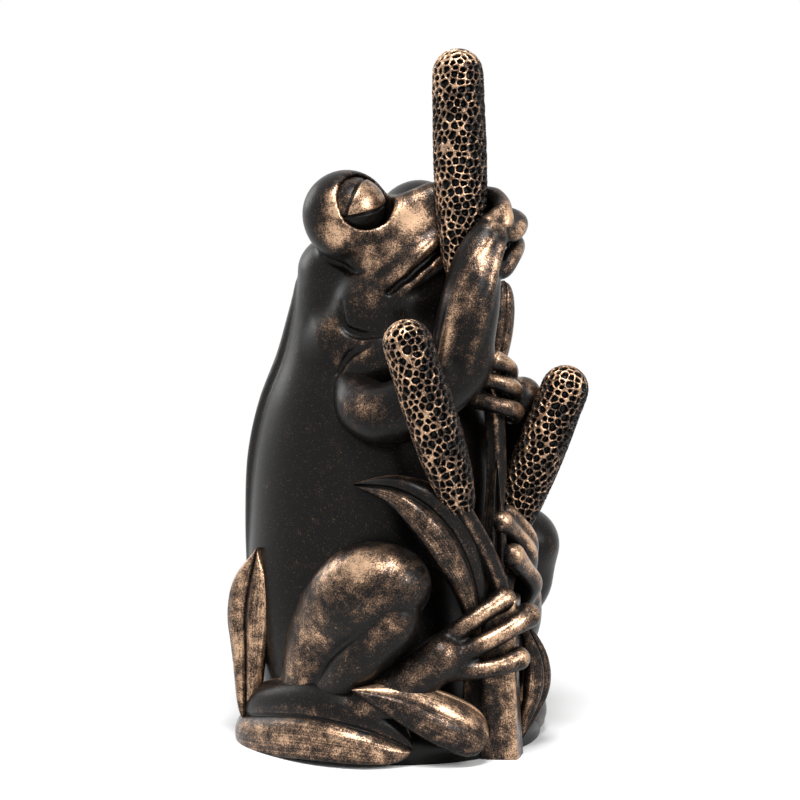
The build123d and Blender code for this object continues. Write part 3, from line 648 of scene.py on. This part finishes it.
# %% Feet
RIGHT_FOOT = (
    # the foot, then its three toes round the clump
    ([(4, -28, 9, 5.2), (13, -26.5, 12, 5.4), (21, -22.5, 18, 5.0), (25.5, -19.5, 22.5, 4.6)], 1.5),
    ([(25, -18.5, 25, 2.4), (30, -14.5, 30, 2.1), (32.5, -11, 32.5, 2.1), (33.5, -8, 33.8, 2.8)], 1.0),
    ([(27, -18.5, 22, 2.4), (33, -14.5, 25.5, 2.1), (36.8, -10, 28.5, 2.1), (38, -5.5, 30.5, 2.8)], 1.0),
    ([(27, -18.5, 19.5, 2.3), (32.5, -15.5, 20, 2.0), (36, -12, 20.8, 2.0), (37.5, -8.5, 21.8, 2.6)], 1.0),
)
LEFT_FOOT = (
    ([(4, 28, 9, 5.2), (14, 24, 15, 5.2), (22, 17, 24, 5.0), (26.5, 11, 31, 4.4)], 1.5),
    ([(29, 9, 38, 2.2), (32.2, 4.8, 44.5, 1.9), (31.8, 1.2, 48.6, 1.9), (31, -2.2, 51, 2.2)], 1.0),
    ([(29, 8.5, 36, 2.2), (33, 2.8, 42.4, 2.1), (32.6, -2.5, 47.2, 2.1), (32.2, -6.7, 50, 2.6)], 1.0),
    ([(28.5, 8.5, 31, 2.3), (33, 4.8, 35.5, 2.2), (34, -0.4, 39.4, 2.1), (34.2, -5.3, 42.9, 2.7)], 1.0),
)
limb("frog_right_foot", RIGHT_FOOT, ((35, -13, 27, 7.0, 0.28),), ["right_foot"], base=-0.2, outer=0.7)
limb("frog_left_foot", LEFT_FOOT, ((35, 0, 44, 6.0, 0.3),), ["left_foot"], base=-0.14, outer=0.6)

# %% [markdown]
# ## Rings along a path
# Stems, leaves, reed heads, eyeballs and the base are simpler than flesh: an outline carried along a line.
# They could be clay too, but fine pits and sharp grooves would need very small cells. Each is an array of
# rings, one row per step along the line and one column per step round the outline, closed by a point at
# each end.


# %% Closed rings
def close_rings(rings, start, end):
    """Faces between neighbouring rings (rows, columns, 3), and fans of triangles to a point at each end."""
    rows, columns = rings.shape[:2]
    index = np.arange(rows * columns).reshape(rows, columns)
    turned = np.roll(index, -1, 1)
    walls = np.stack([index[:-1], turned[:-1], turned[1:], index[1:]], -1).reshape(-1, 4)
    first, last = np.full(columns, rows * columns), np.full(columns, rows * columns + 1)
    start_cap = np.stack([first, turned[0], index[0], index[0]], -1)
    end_cap = np.stack([last, index[-1], turned[-1], turned[-1]], -1)
    return np.vstack([rings.reshape(-1, 3), start, end]), np.vstack([walls, start_cap, end_cap])


def spread(values, rings, ends=(0.0, 0.0)):
    """One value per ring point, with one more for each end point."""
    return np.concatenate([np.broadcast_to(values, rings.shape[:2]).ravel(), ends])


def unit(vectors):
    """Vectors at length one."""
    return vectors / np.linalg.norm(vectors, axis=-1, keepdims=True)


def full_turn(count):
    """Angles of a full turn in even steps."""
    return np.linspace(0, 2 * math.pi, count, endpoint=False)


def spokes(angle, side, front):
    """Directions round an axis: cos(angle) side + sin(angle) front."""
    return np.cos(angle)[..., None] * side + np.sin(angle)[..., None] * front


print("four spokes", spokes(full_turn(4), np.array([1, 0, 0]), np.array([0, 1, 0])).round(3).tolist())

# %% [markdown]
# ## Eyeballs
# On the real figure the lids are drawn on the eyeball by two cut lines: one runs down its outer side, the
# other crosses below the middle to the front corner. A sphere from Blender's menu has no lids, so the
# radius of ours follows a formula. The front of the lid is rubbed bright, and the ball below it is dark.

# %% Eyes
BALL_RADIUS, BALL_AHEAD = 6.8, 3.5
LID_NORMAL, LID_CUT = (0.87, 0.37, -0.32), 0.04
LOWER_NORMAL, LOWER_CUT = (0.0, -0.30, 0.95), 0.045
CUT_DEPTH, LOWER_SINK = 0.45, 0.25
BELOW_RUB, BACK_RUB, FRONT_RUB, CUT_RUB = -0.2, 0.25, 0.5, 0.5


def eyeball(name, side):
    """A sphere about the gaze: its radius less two narrow bell-shaped grooves, each where the direction from
    the middle is square to a line's normal. The part below the lower line lies a little deeper."""
    flip = np.array([1, side, 1])
    gaze = GAZE * flip
    across = unit(np.cross(gaze, (0, 0, 1)))
    above = np.cross(across, gaze)
    polar = np.linspace(0, math.pi, 142)[1:-1, None, None]
    out = np.cos(polar) * gaze + np.sin(polar) * spokes(full_turn(200), across, above)
    lid, lower = out @ (LID_NORMAL * flip), out @ (LOWER_NORMAL * flip)
    below = lower < 0
    groove = np.maximum(np.exp(-((lid / LID_CUT) ** 2)) * ~below, np.exp(-((lower / LOWER_CUT) ** 2)))
    size = BALL_RADIUS - CUT_DEPTH * groove - LOWER_SINK * below
    centre = EYES[side] + BALL_AHEAD * gaze
    rings = centre + size[..., None] * out
    bright = np.where(below, BELOW_RUB, np.where(lid < 0, BACK_RUB, FRONT_RUB)) - CUT_RUB * groove
    points, corners = close_rings(rings, centre + BALL_RADIUS * gaze, centre - BALL_RADIUS * gaze)
    rub_and_light = spread(bright, rings, (bright[0, 0], 0))
    show(f"{name}ball", points, corners, eye_bronze, [name], rub_and_light)


eyeball("right_eye", 1)
eyeball("left_eye", -1)

# %% [markdown]
# ## Bulrush heads
# A bulrush head is a barrel of packed seeds. The sculptor pressed pits into it with a ball tool, close
# together and never quite in line, so gold ridges net it like a honeycomb. A bump map would lose the ragged
# outline, so the pits are real: the distance to the nearest and second nearest pit centre gives the depth
# at each point.

# %% Barrel
BARREL = ((0, 0.5), (0.06, 0.66), (0.16, 0.83), (0.32, 0.95), (0.55, 1.0), (0.75, 0.97))
DOME_SHARE, UPPER_SHARE = 0.95, 0.965
POINT_STEP, ROUND_STEP = 0.2, 0.21


def barrel_profile(radius, length):
    """Rows (height, girth): shares of length and radius from the neck up, then a quarter circle on top."""
    profile = smooth_path(BARREL, 12) * (length, radius)
    turn = np.linspace(0, math.pi / 2, 20)
    cap = DOME_SHARE * radius
    dome = np.stack([length - cap + cap * np.sin(turn), cap * np.cos(turn)], 1)
    upper = ((profile[-1, 0] + length - cap) / 2, UPPER_SHARE * radius)
    return np.vstack([profile, [upper], dome])


def on_barrel(axes, height, girth, angle):
    """Places on the barrel: foot + height up + girth (cos(angle) side + sin(angle) front)."""
    foot, up, side, front = axes
    return foot + height[..., None] * up + girth[..., None] * spokes(angle, side, front)


print("barrel profile", len(barrel_profile(TALL_RADIUS, TALL_LENGTH)), "rows")

# %% Pits
PIT_ROW, PIT_STEP = 1.5, 1.75
PIT_SHIFT, PIT_RISE, PIT_SPARE = 0.32, 0.5, 0.5
PIT_DEPTH, ROUGHNESS = 1.1, 0.03
RIDGE_HALF, WALL_WIDTH = 0.09, 0.28
PIT_REACH, PIT_FADE = 1.3, 0.5


def pit_centres(axes, span, profile, rng):
    """Rows of centres up the barrel, every other row half a step round, each moved a little at random."""
    centres = []
    for row, mark in enumerate(np.arange(0.5, span[-1], PIT_ROW)):
        height, girth = (np.interp(mark, span, profile[:, k]) for k in (0, 1))
        count = max(1, round(2 * math.pi * girth / PIT_STEP))
        place = np.arange(count) + 0.5 * (row % 2) + rng.uniform(-PIT_SHIFT, PIT_SHIFT, count)
        height = height + rng.uniform(-PIT_RISE, PIT_RISE, count)
        centres.append(on_barrel(axes, height, girth, place * 2 * math.pi / count))
    return np.vstack(centres)


def pit_depth(points, centres, spare):
    """Share of the full depth: 0 on the ridge halfway between two centres, rising to 1 down the wall, and
    fading far from any centre. A centre's spare distance makes its pit smaller."""
    near = np.empty((len(points), 2))
    for part in np.array_split(np.arange(len(points)), 24):
        far = np.linalg.norm(points[part, None] - centres[None], axis=2) + spare[None]
        near[part] = np.partition(far, 1, axis=1)[:, :2]
    ridge = (near[:, 1] - near[:, 0]) / 2
    wall = np.clip((ridge - RIDGE_HALF) / WALL_WIDTH, 0, 1)
    pit = wall * np.clip((PIT_REACH - near[:, 0]) / PIT_FADE, 0, 1)
    return pit * pit * (3 - 2 * pit)


print("pits", PIT_DEPTH, "mm deep in rows", PIT_ROW, "mm apart")

# %% Reed heads
# Painted light: the side of a reed head that faces this direction is made brighter, as light falls there.
LIGHT_SIDE = np.array([-0.17, -0.97, 0.17])
NET_RUB, PIT_RUB, SIDE_LIGHT_RUB = 0.35, 1.7, 0.24
TOP_RUB, TOP_PLACE = 0.25, 0.93


def reed_head(name, top, foot, radius, length, seed):
    """A barrel turned about its axis, less pits along its normal."""
    up = unit(np.array(top, float) - foot)
    side = unit(np.cross(up, (0, 1, 0)))
    front = np.cross(up, side)
    base = np.array(top) - up * length
    axes = (base, up, side, front)
    profile = barrel_profile(radius, length)
    span = np.concatenate([[0], np.cumsum(np.linalg.norm(np.diff(profile, axis=0), axis=1))])
    marks = np.arange(0, span[-1], POINT_STEP)
    height, girth = (np.interp(marks, span, profile[:, k]) for k in (0, 1))
    angle = full_turn(int(2 * math.pi * radius / ROUND_STEP))
    smooth = on_barrel(axes, height[:, None], girth[:, None], angle)
    rng = np.random.default_rng(seed)
    centres = pit_centres(axes, span, profile, rng)
    spare = rng.uniform(0, PIT_SPARE, len(centres))
    pit = pit_depth(smooth.reshape(-1, 3), centres, spare).reshape(smooth.shape[:2])
    out = spokes(angle, side, front)
    steepness = np.gradient(girth, height + 1e-6 * marks).clip(-3, 3)
    normal = unit(out[None] - up * steepness[:, None, None])
    rings = smooth - normal * (PIT_DEPTH * pit + ROUGHNESS * rng.standard_normal(pit.shape))[..., None]
    # Stain stays in the pits; the side that faces the light direction gets painted light.
    shine = NET_RUB - PIT_RUB * pit + SIDE_LIGHT_RUB * (out @ LIGHT_SIDE)[None]
    shine = shine + TOP_RUB * (height / length > TOP_PLACE)[:, None]
    points, corners = close_rings(rings, base, np.array(top, float))
    rub_and_light = spread(shine, rings, (0, 0.6))
    show(f"{name}_pitted", points, corners, reed_bronze, [name], rub_and_light)
    print(name, len(centres), "pits")


SIDE_RADIUS, SIDE_LENGTH = 5.4, 42.0
reed_head("tall_reed_head", TALL_TOP, TALL_FOOT, TALL_RADIUS, TALL_LENGTH, 3)
reed_head("right_reed_head", (21.75, -29.25, 93.1), (29.5, -18.0, 53.75), SIDE_RADIUS, SIDE_LENGTH, 5)
reed_head("left_reed_head", (40.75, 8.5, 82.5), (28.75, 5.0, 51.25), SIDE_RADIUS, SIDE_LENGTH, 8)

# %% [markdown]
# ## Stems and sheath
# The stems are round rods with faint flutes, and come out of one folded blade at the foot of the clump. A
# curve with a round bevel would give plain rods; with rings we can wave the outline into flutes, and fold
# the blade into its keel, by one line of formula each.

# %% Stems
STEM_RADIUS = 2.1
FLUTES, FLUTE_SHARE = 5, 0.05
STEM_RUB, FLUTE_RUB = 0.12, 0.2


def directions(line):
    """Unit tangents of a line of points."""
    return unit(np.gradient(line, axis=0))


def stem(name, stations):
    """A rod: at each step a circle square to the line, its radius waved by five flutes."""
    line = smooth_path(stations, 14)
    ahead = directions(line)
    side = unit(np.cross(ahead, (0.3, 1, 0)))
    front = np.cross(ahead, side)
    angle = full_turn(40)
    wave = np.cos(FLUTES * angle)
    size = STEM_RADIUS * (1 + FLUTE_SHARE * wave)
    rings = line[:, None] + size[None, :, None] * spokes(angle, side[:, None], front[:, None])
    points, corners = close_rings(rings, line[0], line[-1])
    rub_and_light = spread(STEM_RUB + FLUTE_RUB * wave, rings)
    show(f"{name}_rod", points, corners, stem_bronze, [name], rub_and_light)


stem("tall_reed_stem", [(26.1, -5.5, 28), (26.1, -5.5, 36), (28.7, -3.5, 56.2), (27.2, -3, 78.7),
                        (23.5, -5, 91.2), (22, -6, 100), (21.8, -6, 106)])
stem("right_reed_stem", [(31.9, -7.3, 28), (31.9, -7.3, 36), (31.5, -12.5, 45), (29.5, -18, 53.7),
                         (28.4, -19.6, 59.3)])
stem("left_reed_stem", [(29.7, -1.6, 28), (29.7, -1.6, 36), (28.7, 5, 51.2), (30.8, 5.6, 56.8)])

# %% Sheath
KEEL_TURN = math.radians(-18)
SHEATH_X, SHEATH_Y, SHEATH_TOP = 29, -5.5, 34
SHEATH_ROWS = ((0, 6.9), (6, 6.5), (17, 5.9), (28, 6.0), (SHEATH_TOP, 6.2))


def sheath():
    """A folded blade: level outlines whose radius is a size for the height, plus a keel
    1.7 (1 - |angle| / 0.6) ** 1.5 in front, less a bell-shaped hollow beside it, plus a narrow fold."""
    angle = np.linspace(-math.pi, math.pi, 160, endpoint=False)
    rows = smooth_path(SHEATH_ROWS, 8)
    keel = 1.7 * np.clip(1 - np.abs(angle) / 0.6, 0, 1) ** 1.5
    fold = 0.7 * np.exp(-(((angle + 1.75) / 0.12) ** 2))
    hollow = 0.5 * np.exp(-(((angle + 1.25) / 0.3) ** 2))
    size = rows[:, 1, None] + (keel + fold - hollow)[None]
    turned = angle + KEEL_TURN
    height = np.broadcast_to(rows[:, :1], size.shape)
    rings = np.stack([SHEATH_X + size * np.cos(turned), SHEATH_Y + size * np.sin(turned), height], -1)
    points, corners = close_rings(rings, (SHEATH_X, SHEATH_Y, 0), (SHEATH_X, SHEATH_Y, SHEATH_TOP))
    rub_and_light = spread(0.22 + 0.2 * keel + 0.4 * fold - 0.3 * hollow, rings)
    show("reed_sheath_blade", points, corners, stem_bronze, ["reed_sheath"], rub_and_light)


sheath()

# %% [markdown]
# ## Leaves
# A leaf is cast thick, with a wall all round its edge. Its face has two crowned lobes that meet in a sharp
# midrib groove. The cloth has rubbed the rim bright; over that the edge that looks up gets a painted
# highlight and the lower edge painted shade, and one lobe is painted lighter than the other. A flat sheet
# with a Solidify modifier would have neither lobes nor groove, so the outline across the leaf is one closed
# loop, and it is carried along the midrib while its width swells and comes to a point.

# %% Across a leaf
POINTED = (0.16, 0.62, 1.0, 0.92, 0.55, 0.12)
TOP_STEPS = 81
UNDERSIDE = ((0.98, -0.85), (0.9, -1.0), (0.0, -1.0), (-0.9, -1.0), (-0.98, -0.85))
TOP = np.sin(np.linspace(-math.pi / 2, math.pi / 2, TOP_STEPS))
ACROSS = np.concatenate([TOP, [v for v, _ in UNDERSIDE]])
UNDER = np.concatenate([np.zeros(TOP_STEPS), [drop for _, drop in UNDERSIDE]])
ON_TOP = np.arange(ACROSS.size)[None] < TOP_STEPS
LEAF_THICK, BEAD, GROOVE_HALF = 2.4, 0.3, 0.28


def leaf_share(u, widths):
    """Share of the full width at u from 0 to 1: a curve through the given shares, rounded at both ends."""
    table = smooth_path([(k / (len(widths) - 1), share) for k, share in enumerate(widths)])
    share = np.interp(u, table[:, 0], table[:, 1])[:, None]
    return share * np.sqrt(np.clip(1 - (2 * u[:, None] - 1) ** 10, 0.002, 1))


def leaf_height(half, share, groove, wall, lobes):
    """Across the leaf, v from -1 to 1: two lobes t (0.45 + 2.25 |v| - 2.7 v^2), or one crown 0.9 t (1 - v^2),
    or a mix, with a bead at the edge and a fine groove at v = 0; then down the wall and back underneath."""
    v = ACROSS[None]
    bead = BEAD * np.exp(-(((1 - np.abs(v)) * half / 0.5 - 0.6) ** 2))
    thick = LEAF_THICK * (0.4 + 0.6 * share)
    crown = lobes * (0.45 + 2.25 * np.abs(v) - 2.7 * v**2) + (1 - lobes) * (0.9 - 0.9 * v**2)
    top = thick * crown + bead * share - 0.4 * groove * share
    return np.where(ON_TOP, top, wall * UNDER[None] * (0.25 + 0.75 * share))


print("a leaf has", ACROSS.size, "points across,", TOP_STEPS, "of them on its face")

# %% Along a leaf
EDGE_RUB, EDGE_WIDTH = 0.45, 0.7
GROOVE_RUB, UNDER_RUB, STREAK_RUB = 0.4, 0.3, 0.07


def leaf_axes(line, lift, turn):
    """Directions across the leaf and out of its face: the face looks away from the frog's axis, turned by
    some degrees and lifted towards the sky."""
    ahead = directions(line)
    x, y, z = unit((line - FROG_AXIS) * (1, 1, 0)).T
    cos, sin = math.cos(math.radians(turn)), math.sin(math.radians(turn))
    out = np.stack([x * cos - y * sin, x * sin + y * cos, z], 1)
    across = unit(np.cross(out + (0, 0, lift), ahead))
    return across, np.cross(ahead, across)


def streaks(u):
    """Faint brush marks: random values at seven places along the leaf, joined by straight lines."""
    knots = np.random.default_rng(len(u) + ACROSS.size).standard_normal((7, ACROSS.size))
    weight = np.clip(1 - np.abs(6 * u[:, None] - np.arange(7)), 0, 1)
    return STREAK_RUB * weight @ knots


def leaf(name, stations, width, lift, turn=0.0, widths=POINTED, shine=0.12, wall=1.6, lobe_light=0.0, lobes=1.0,
         node=None):
    """The outline across the leaf, carried along a smooth line. What would reach below ground is cut flat.
    The worn rim gets a painted highlight on the edge that looks up and painted shade on the lower edge, and
    one lobe is painted lighter than the other."""
    line = smooth_path(stations, 16)
    u = np.linspace(0, 1, len(line))
    v = ACROSS[None]
    share = leaf_share(u, widths)
    half = width / 2 * share
    across, facing = leaf_axes(line, lift, turn)
    groove = lobes * np.exp(-((v * half / GROOVE_HALF) ** 2))
    height = leaf_height(half, share, groove, wall, lobes)
    rings = line[:, None] + across[:, None] * (v * half)[..., None] + facing[:, None] * height[..., None]
    rings[..., 2] = rings[..., 2].clip(0)
    # Painted highlight on the edge that looks up and painted shade on the edge that looks down, over the worn
    # rim.
    edge_light = 0.4 + 0.9 * across[:, 2:] * np.sign(v)
    edge = edge_light * np.clip(1.3 - (1 - np.abs(v)) * half / EDGE_WIDTH, 0, 1) * ON_TOP
    # Real brush streaks, plus painted light that makes one lobe lighter than the other.
    face = (streaks(u) + lobe_light * np.sign(v) * np.minimum(np.abs(4 * v), 1)) * ON_TOP
    bright = shine + EDGE_RUB * edge + face - GROOVE_RUB * groove - UNDER_RUB * ~ON_TOP
    points, corners = close_rings(rings, line[0], line[-1])
    show(f"{name}_blade", points, corners, leaf_bronze, [node or name], spread(bright, rings))


BROAD = (0.45, 0.85, 1.0, 0.95, 0.75, 0.4)
SPOON = (0.5, 0.66, 0.86, 1.0, 0.86, 0.12)
HIP = [(-28, -19.5, 2.6), (-17, -28.5, 6), (1, -33, 8.8), (14.3, -30.9, 7.4), (21.8, -25, 3.2)]
BACK = [(-21.5, -26, 4), (-21.2, -26.1, 19), (-21, -26, 30), (-19.3, -24.5, 42.5)]
# The hip leaves' lower lobes are painted lighter: a painted reflection of the white floor.
leaf("right_hip_leaf", HIP, 17.5, 0.45, widths=BROAD, shine=0.22, lobe_light=-0.2)
leaf("left_hip_leaf", mirrored(HIP), 17.5, 0.45, widths=BROAD, shine=0.22, lobe_light=0.2)
leaf("right_back_leaf", BACK, 10.5, 0.1, turn=40, widths=SPOON, shine=0.46)
leaf("left_back_leaf", mirrored(BACK), 10.5, 0.1, turn=-40, widths=SPOON, shine=0.46)

# %% Leaves behind and in front
ROOTED = (0.85, 1.0, 1.0, 0.85, 0.52, 0.12)
leaf("rear_leaf", [(-33.5, 0, 3), (-35.25, 0, 14), (-35.25, -1, 24), (-33.5, -1, 33)], 12, 0.0, wall=3.6)
leaf("right_front_leaf", [(33.3, -14.3, 5), (29, -21, 9.4), (21, -27.5, 14), (11.5, -32.3, 16)], 11, 0.4,
     widths=ROOTED, shine=0.36, lobes=0.25, lobe_light=-0.14)
leaf("left_front_leaf", [(30, 6.5, 5.8), (26, 17, 6.5), (19.5, 25.5, 8.8), (10, 31, 12.5)], 10.5, 0.4,
     widths=ROOTED)

# %% Leaves on the clump
BLUNT = (0.6, 0.75, 0.9, 1.0, 1.0, 0.75)
leaf("curled_leaf", [(29.5, -9.5, 20), (29, -12.6, 35.8), (28.3, -18, 46.2), (24.8, -22.5, 53.5),
                     (16.6, -23.8, 57.5), (4, -21.5, 57.5)], 12, 0.2, shine=0.14, wall=3.0, lobe_light=0.14)
leaf("stem_leaf", [(31.4, -7.4, 31), (31.2, -7.2, 42), (30.8, -6.8, 52), (30.3, -6, 63)], 4.5, 0.0, turn=-35,
     wall=1.0, shine=0.05, node="tall_reed_stem")
leaf("left_side_leaf", [(32, 0.5, 2), (35, 3, 12), (35.3, 2.5, 20), (34, -2, 29)], 8, 0.1, shine=0.2)
leaf("held_leaf", [(24.5, 0.5, 78), (26.2, 2.0, 89), (26.4, 2.6, 101)], 6.0, 0.0, turn=-35, widths=BLUNT,
     wall=1.0, shine=0.3, lobes=0.3)

# %% [markdown]
# ## Base
# The foot is a low mound with a rounded rim, nearly black, under the leaves. A cylinder with a Bevel
# modifier would come close; a profile turned about Z is as short and keeps the rim's radius exact.

# %% Base mound
RIM_RADIUS, RIM_X, RIM_Z = 4, 29, 3
FOOT_RADIUS, FOOT_TOP = 32.6, 7.0


def base_mound():
    """A profile turned about Z: flat underside, a rim of 4 mm radius, a level top."""
    turn = np.linspace(0, math.pi / 2, 12)
    rim = np.stack([RIM_X + RIM_RADIUS * np.cos(turn), RIM_Z + RIM_RADIUS * np.sin(turn)], 1)
    profile = np.vstack([[(20, 0), (FOOT_RADIUS, 0)], rim, [(15, FOOT_TOP)]])
    angle = full_turn(160)
    height = np.broadcast_to(profile[:, 1:], (len(profile), len(angle)))
    rings = np.stack([profile[:, :1] * np.cos(angle), profile[:, :1] * np.sin(angle), height], -1)
    points, corners = close_rings(rings, (0, 0, 0), (0, 0, FOOT_TOP))
    show("base_foot", points, corners, base_bronze, ["base_mound"], spread(0.1, rings))


base_mound()

# %% [markdown]
# ## Studio
# The figure stands on a white sweep. A floor that meets a backdrop would show a line, so the floor fades
# out round the figure until only its soft shadow shows, and the background is plain white. Large soft lamps
# stand above and to both sides, since bronze shows its form by broad reflections.


# %% Floor
def floor():
    """A pale square under the figure that fades to nothing away from it."""
    material = bpy.data.materials.new("studio_floor")
    material.use_nodes = True
    tree = material.node_tree
    tree.nodes.clear()
    place = add(tree, "ShaderNodeTexCoord").outputs["Object"]
    away = add(tree, "ShaderNodeVectorMath", {0: place}, operation="LENGTH").outputs["Value"]
    fade = add(tree, "ShaderNodeMapRange", {"Value": away, "From Min": 0.07, "From Max": 0.22},
               interpolation_type="SMOOTHSTEP").outputs["Result"]
    pale = add(tree, "ShaderNodeBsdfDiffuse", {"Color": linear("#f7f7f7")}).outputs["BSDF"]
    clear = add(tree, "ShaderNodeBsdfTransparent").outputs["BSDF"]
    mixed = add(tree, "ShaderNodeMixShader", {0: fade, 1: pale, 2: clear})
    add(tree, "ShaderNodeOutputMaterial", {"Surface": mixed.outputs[0]})
    mesh = bpy.data.meshes.new("studio_floor")
    far = 0.6
    mesh.from_pydata([(-far, -far, 0), (far, -far, 0), (far, far, 0), (-far, far, 0)], [], [(0, 1, 2, 3)])
    mesh.materials.append(material)
    plane = bpy.data.objects.new("studio_floor", mesh)
    bpy.context.scene.collection.objects.link(plane)
    print("floor", 2 * far, "m wide")


floor()


# %% World and lamps
def white_world(light):
    """White to the camera and where it is reflected or refracted; elsewhere a plain dim light."""
    world = bpy.data.worlds.new("studio")
    bpy.context.scene.world = world
    world.use_nodes = True
    tree = world.node_tree
    tree.nodes.clear()
    rays = add(tree, "ShaderNodeLightPath").outputs
    seen = rays["Is Camera Ray"]
    for ray in ("Is Transmission Ray", "Is Glossy Ray"):
        seen = add(tree, "ShaderNodeMath", {0: seen, 1: rays[ray]}, operation="MAXIMUM").outputs[0]
    strength = add(tree, "ShaderNodeMapRange", {"Value": seen, "To Min": light, "To Max": 1.0})
    shade = add(tree, "ShaderNodeBackground", {"Color": (1, 1, 1, 1), "Strength": strength.outputs["Result"]})
    add(tree, "ShaderNodeOutputWorld", {"Surface": shade.outputs[0]})


LAMP_TARGET = np.array([0, 0, 0.07])
LAMP_SIZE = 0.3


def lamp(name, place, power):
    """A square soft lamp at a place in metres, turned to the middle of the figure."""
    light = bpy.data.lights.new(name, "AREA")
    light.shape, light.size, light.energy = "SQUARE", LAMP_SIZE, power
    piece = bpy.data.objects.new(name, light)
    piece.location = place
    x, y, z = LAMP_TARGET - place
    piece.rotation_euler = (math.atan2(math.hypot(x, y), -z), 0, math.atan2(x, -y) + math.pi)
    bpy.context.scene.collection.objects.link(piece)
    print(name, power, "W")


white_world(0.35)
lamp("top_lamp", (0.15, -0.3, 0.7), 6.0)
lamp("left_lamp", (-0.68, 0.05, 0.35), 0.9)
lamp("right_lamp", (0.65, -0.15, 0.35), 3.4)

# %% [markdown]
# ## Camera
# The camera looks at the frog's right side from 35 degrees round towards its front, a little above its
# middle and 4 degrees down. A wider lens from nearer would swell the thigh, so an 87 mm lens stands 43 cm
# away.

# %% Camera
AZIMUTH, PITCH = math.radians(35), math.radians(4.09)
DISTANCE, EYE_HEIGHT = 0.430, 0.105
SENSOR_MM = 36.0
IMAGE_PIXELS, FOCAL_PIXELS, ASIDE_PIXELS = 800, 1933, 5
camera = bpy.data.cameras.new("photo_camera")
camera.sensor_width, camera.lens = SENSOR_MM, SENSOR_MM * FOCAL_PIXELS / IMAGE_PIXELS
viewer = bpy.data.objects.new("photo_camera", camera)
viewer.location = (DISTANCE * math.sin(AZIMUTH), -DISTANCE * math.cos(AZIMUTH), EYE_HEIGHT)
viewer.rotation_euler = (math.pi / 2 - PITCH, 0, AZIMUTH - math.atan(ASIDE_PIXELS / FOCAL_PIXELS))
bpy.context.scene.collection.objects.link(viewer)
bpy.context.scene.camera = viewer
bpy.context.scene.view_settings.view_transform = "Standard"
print("lens", camera.lens, "mm at", DISTANCE, "m")
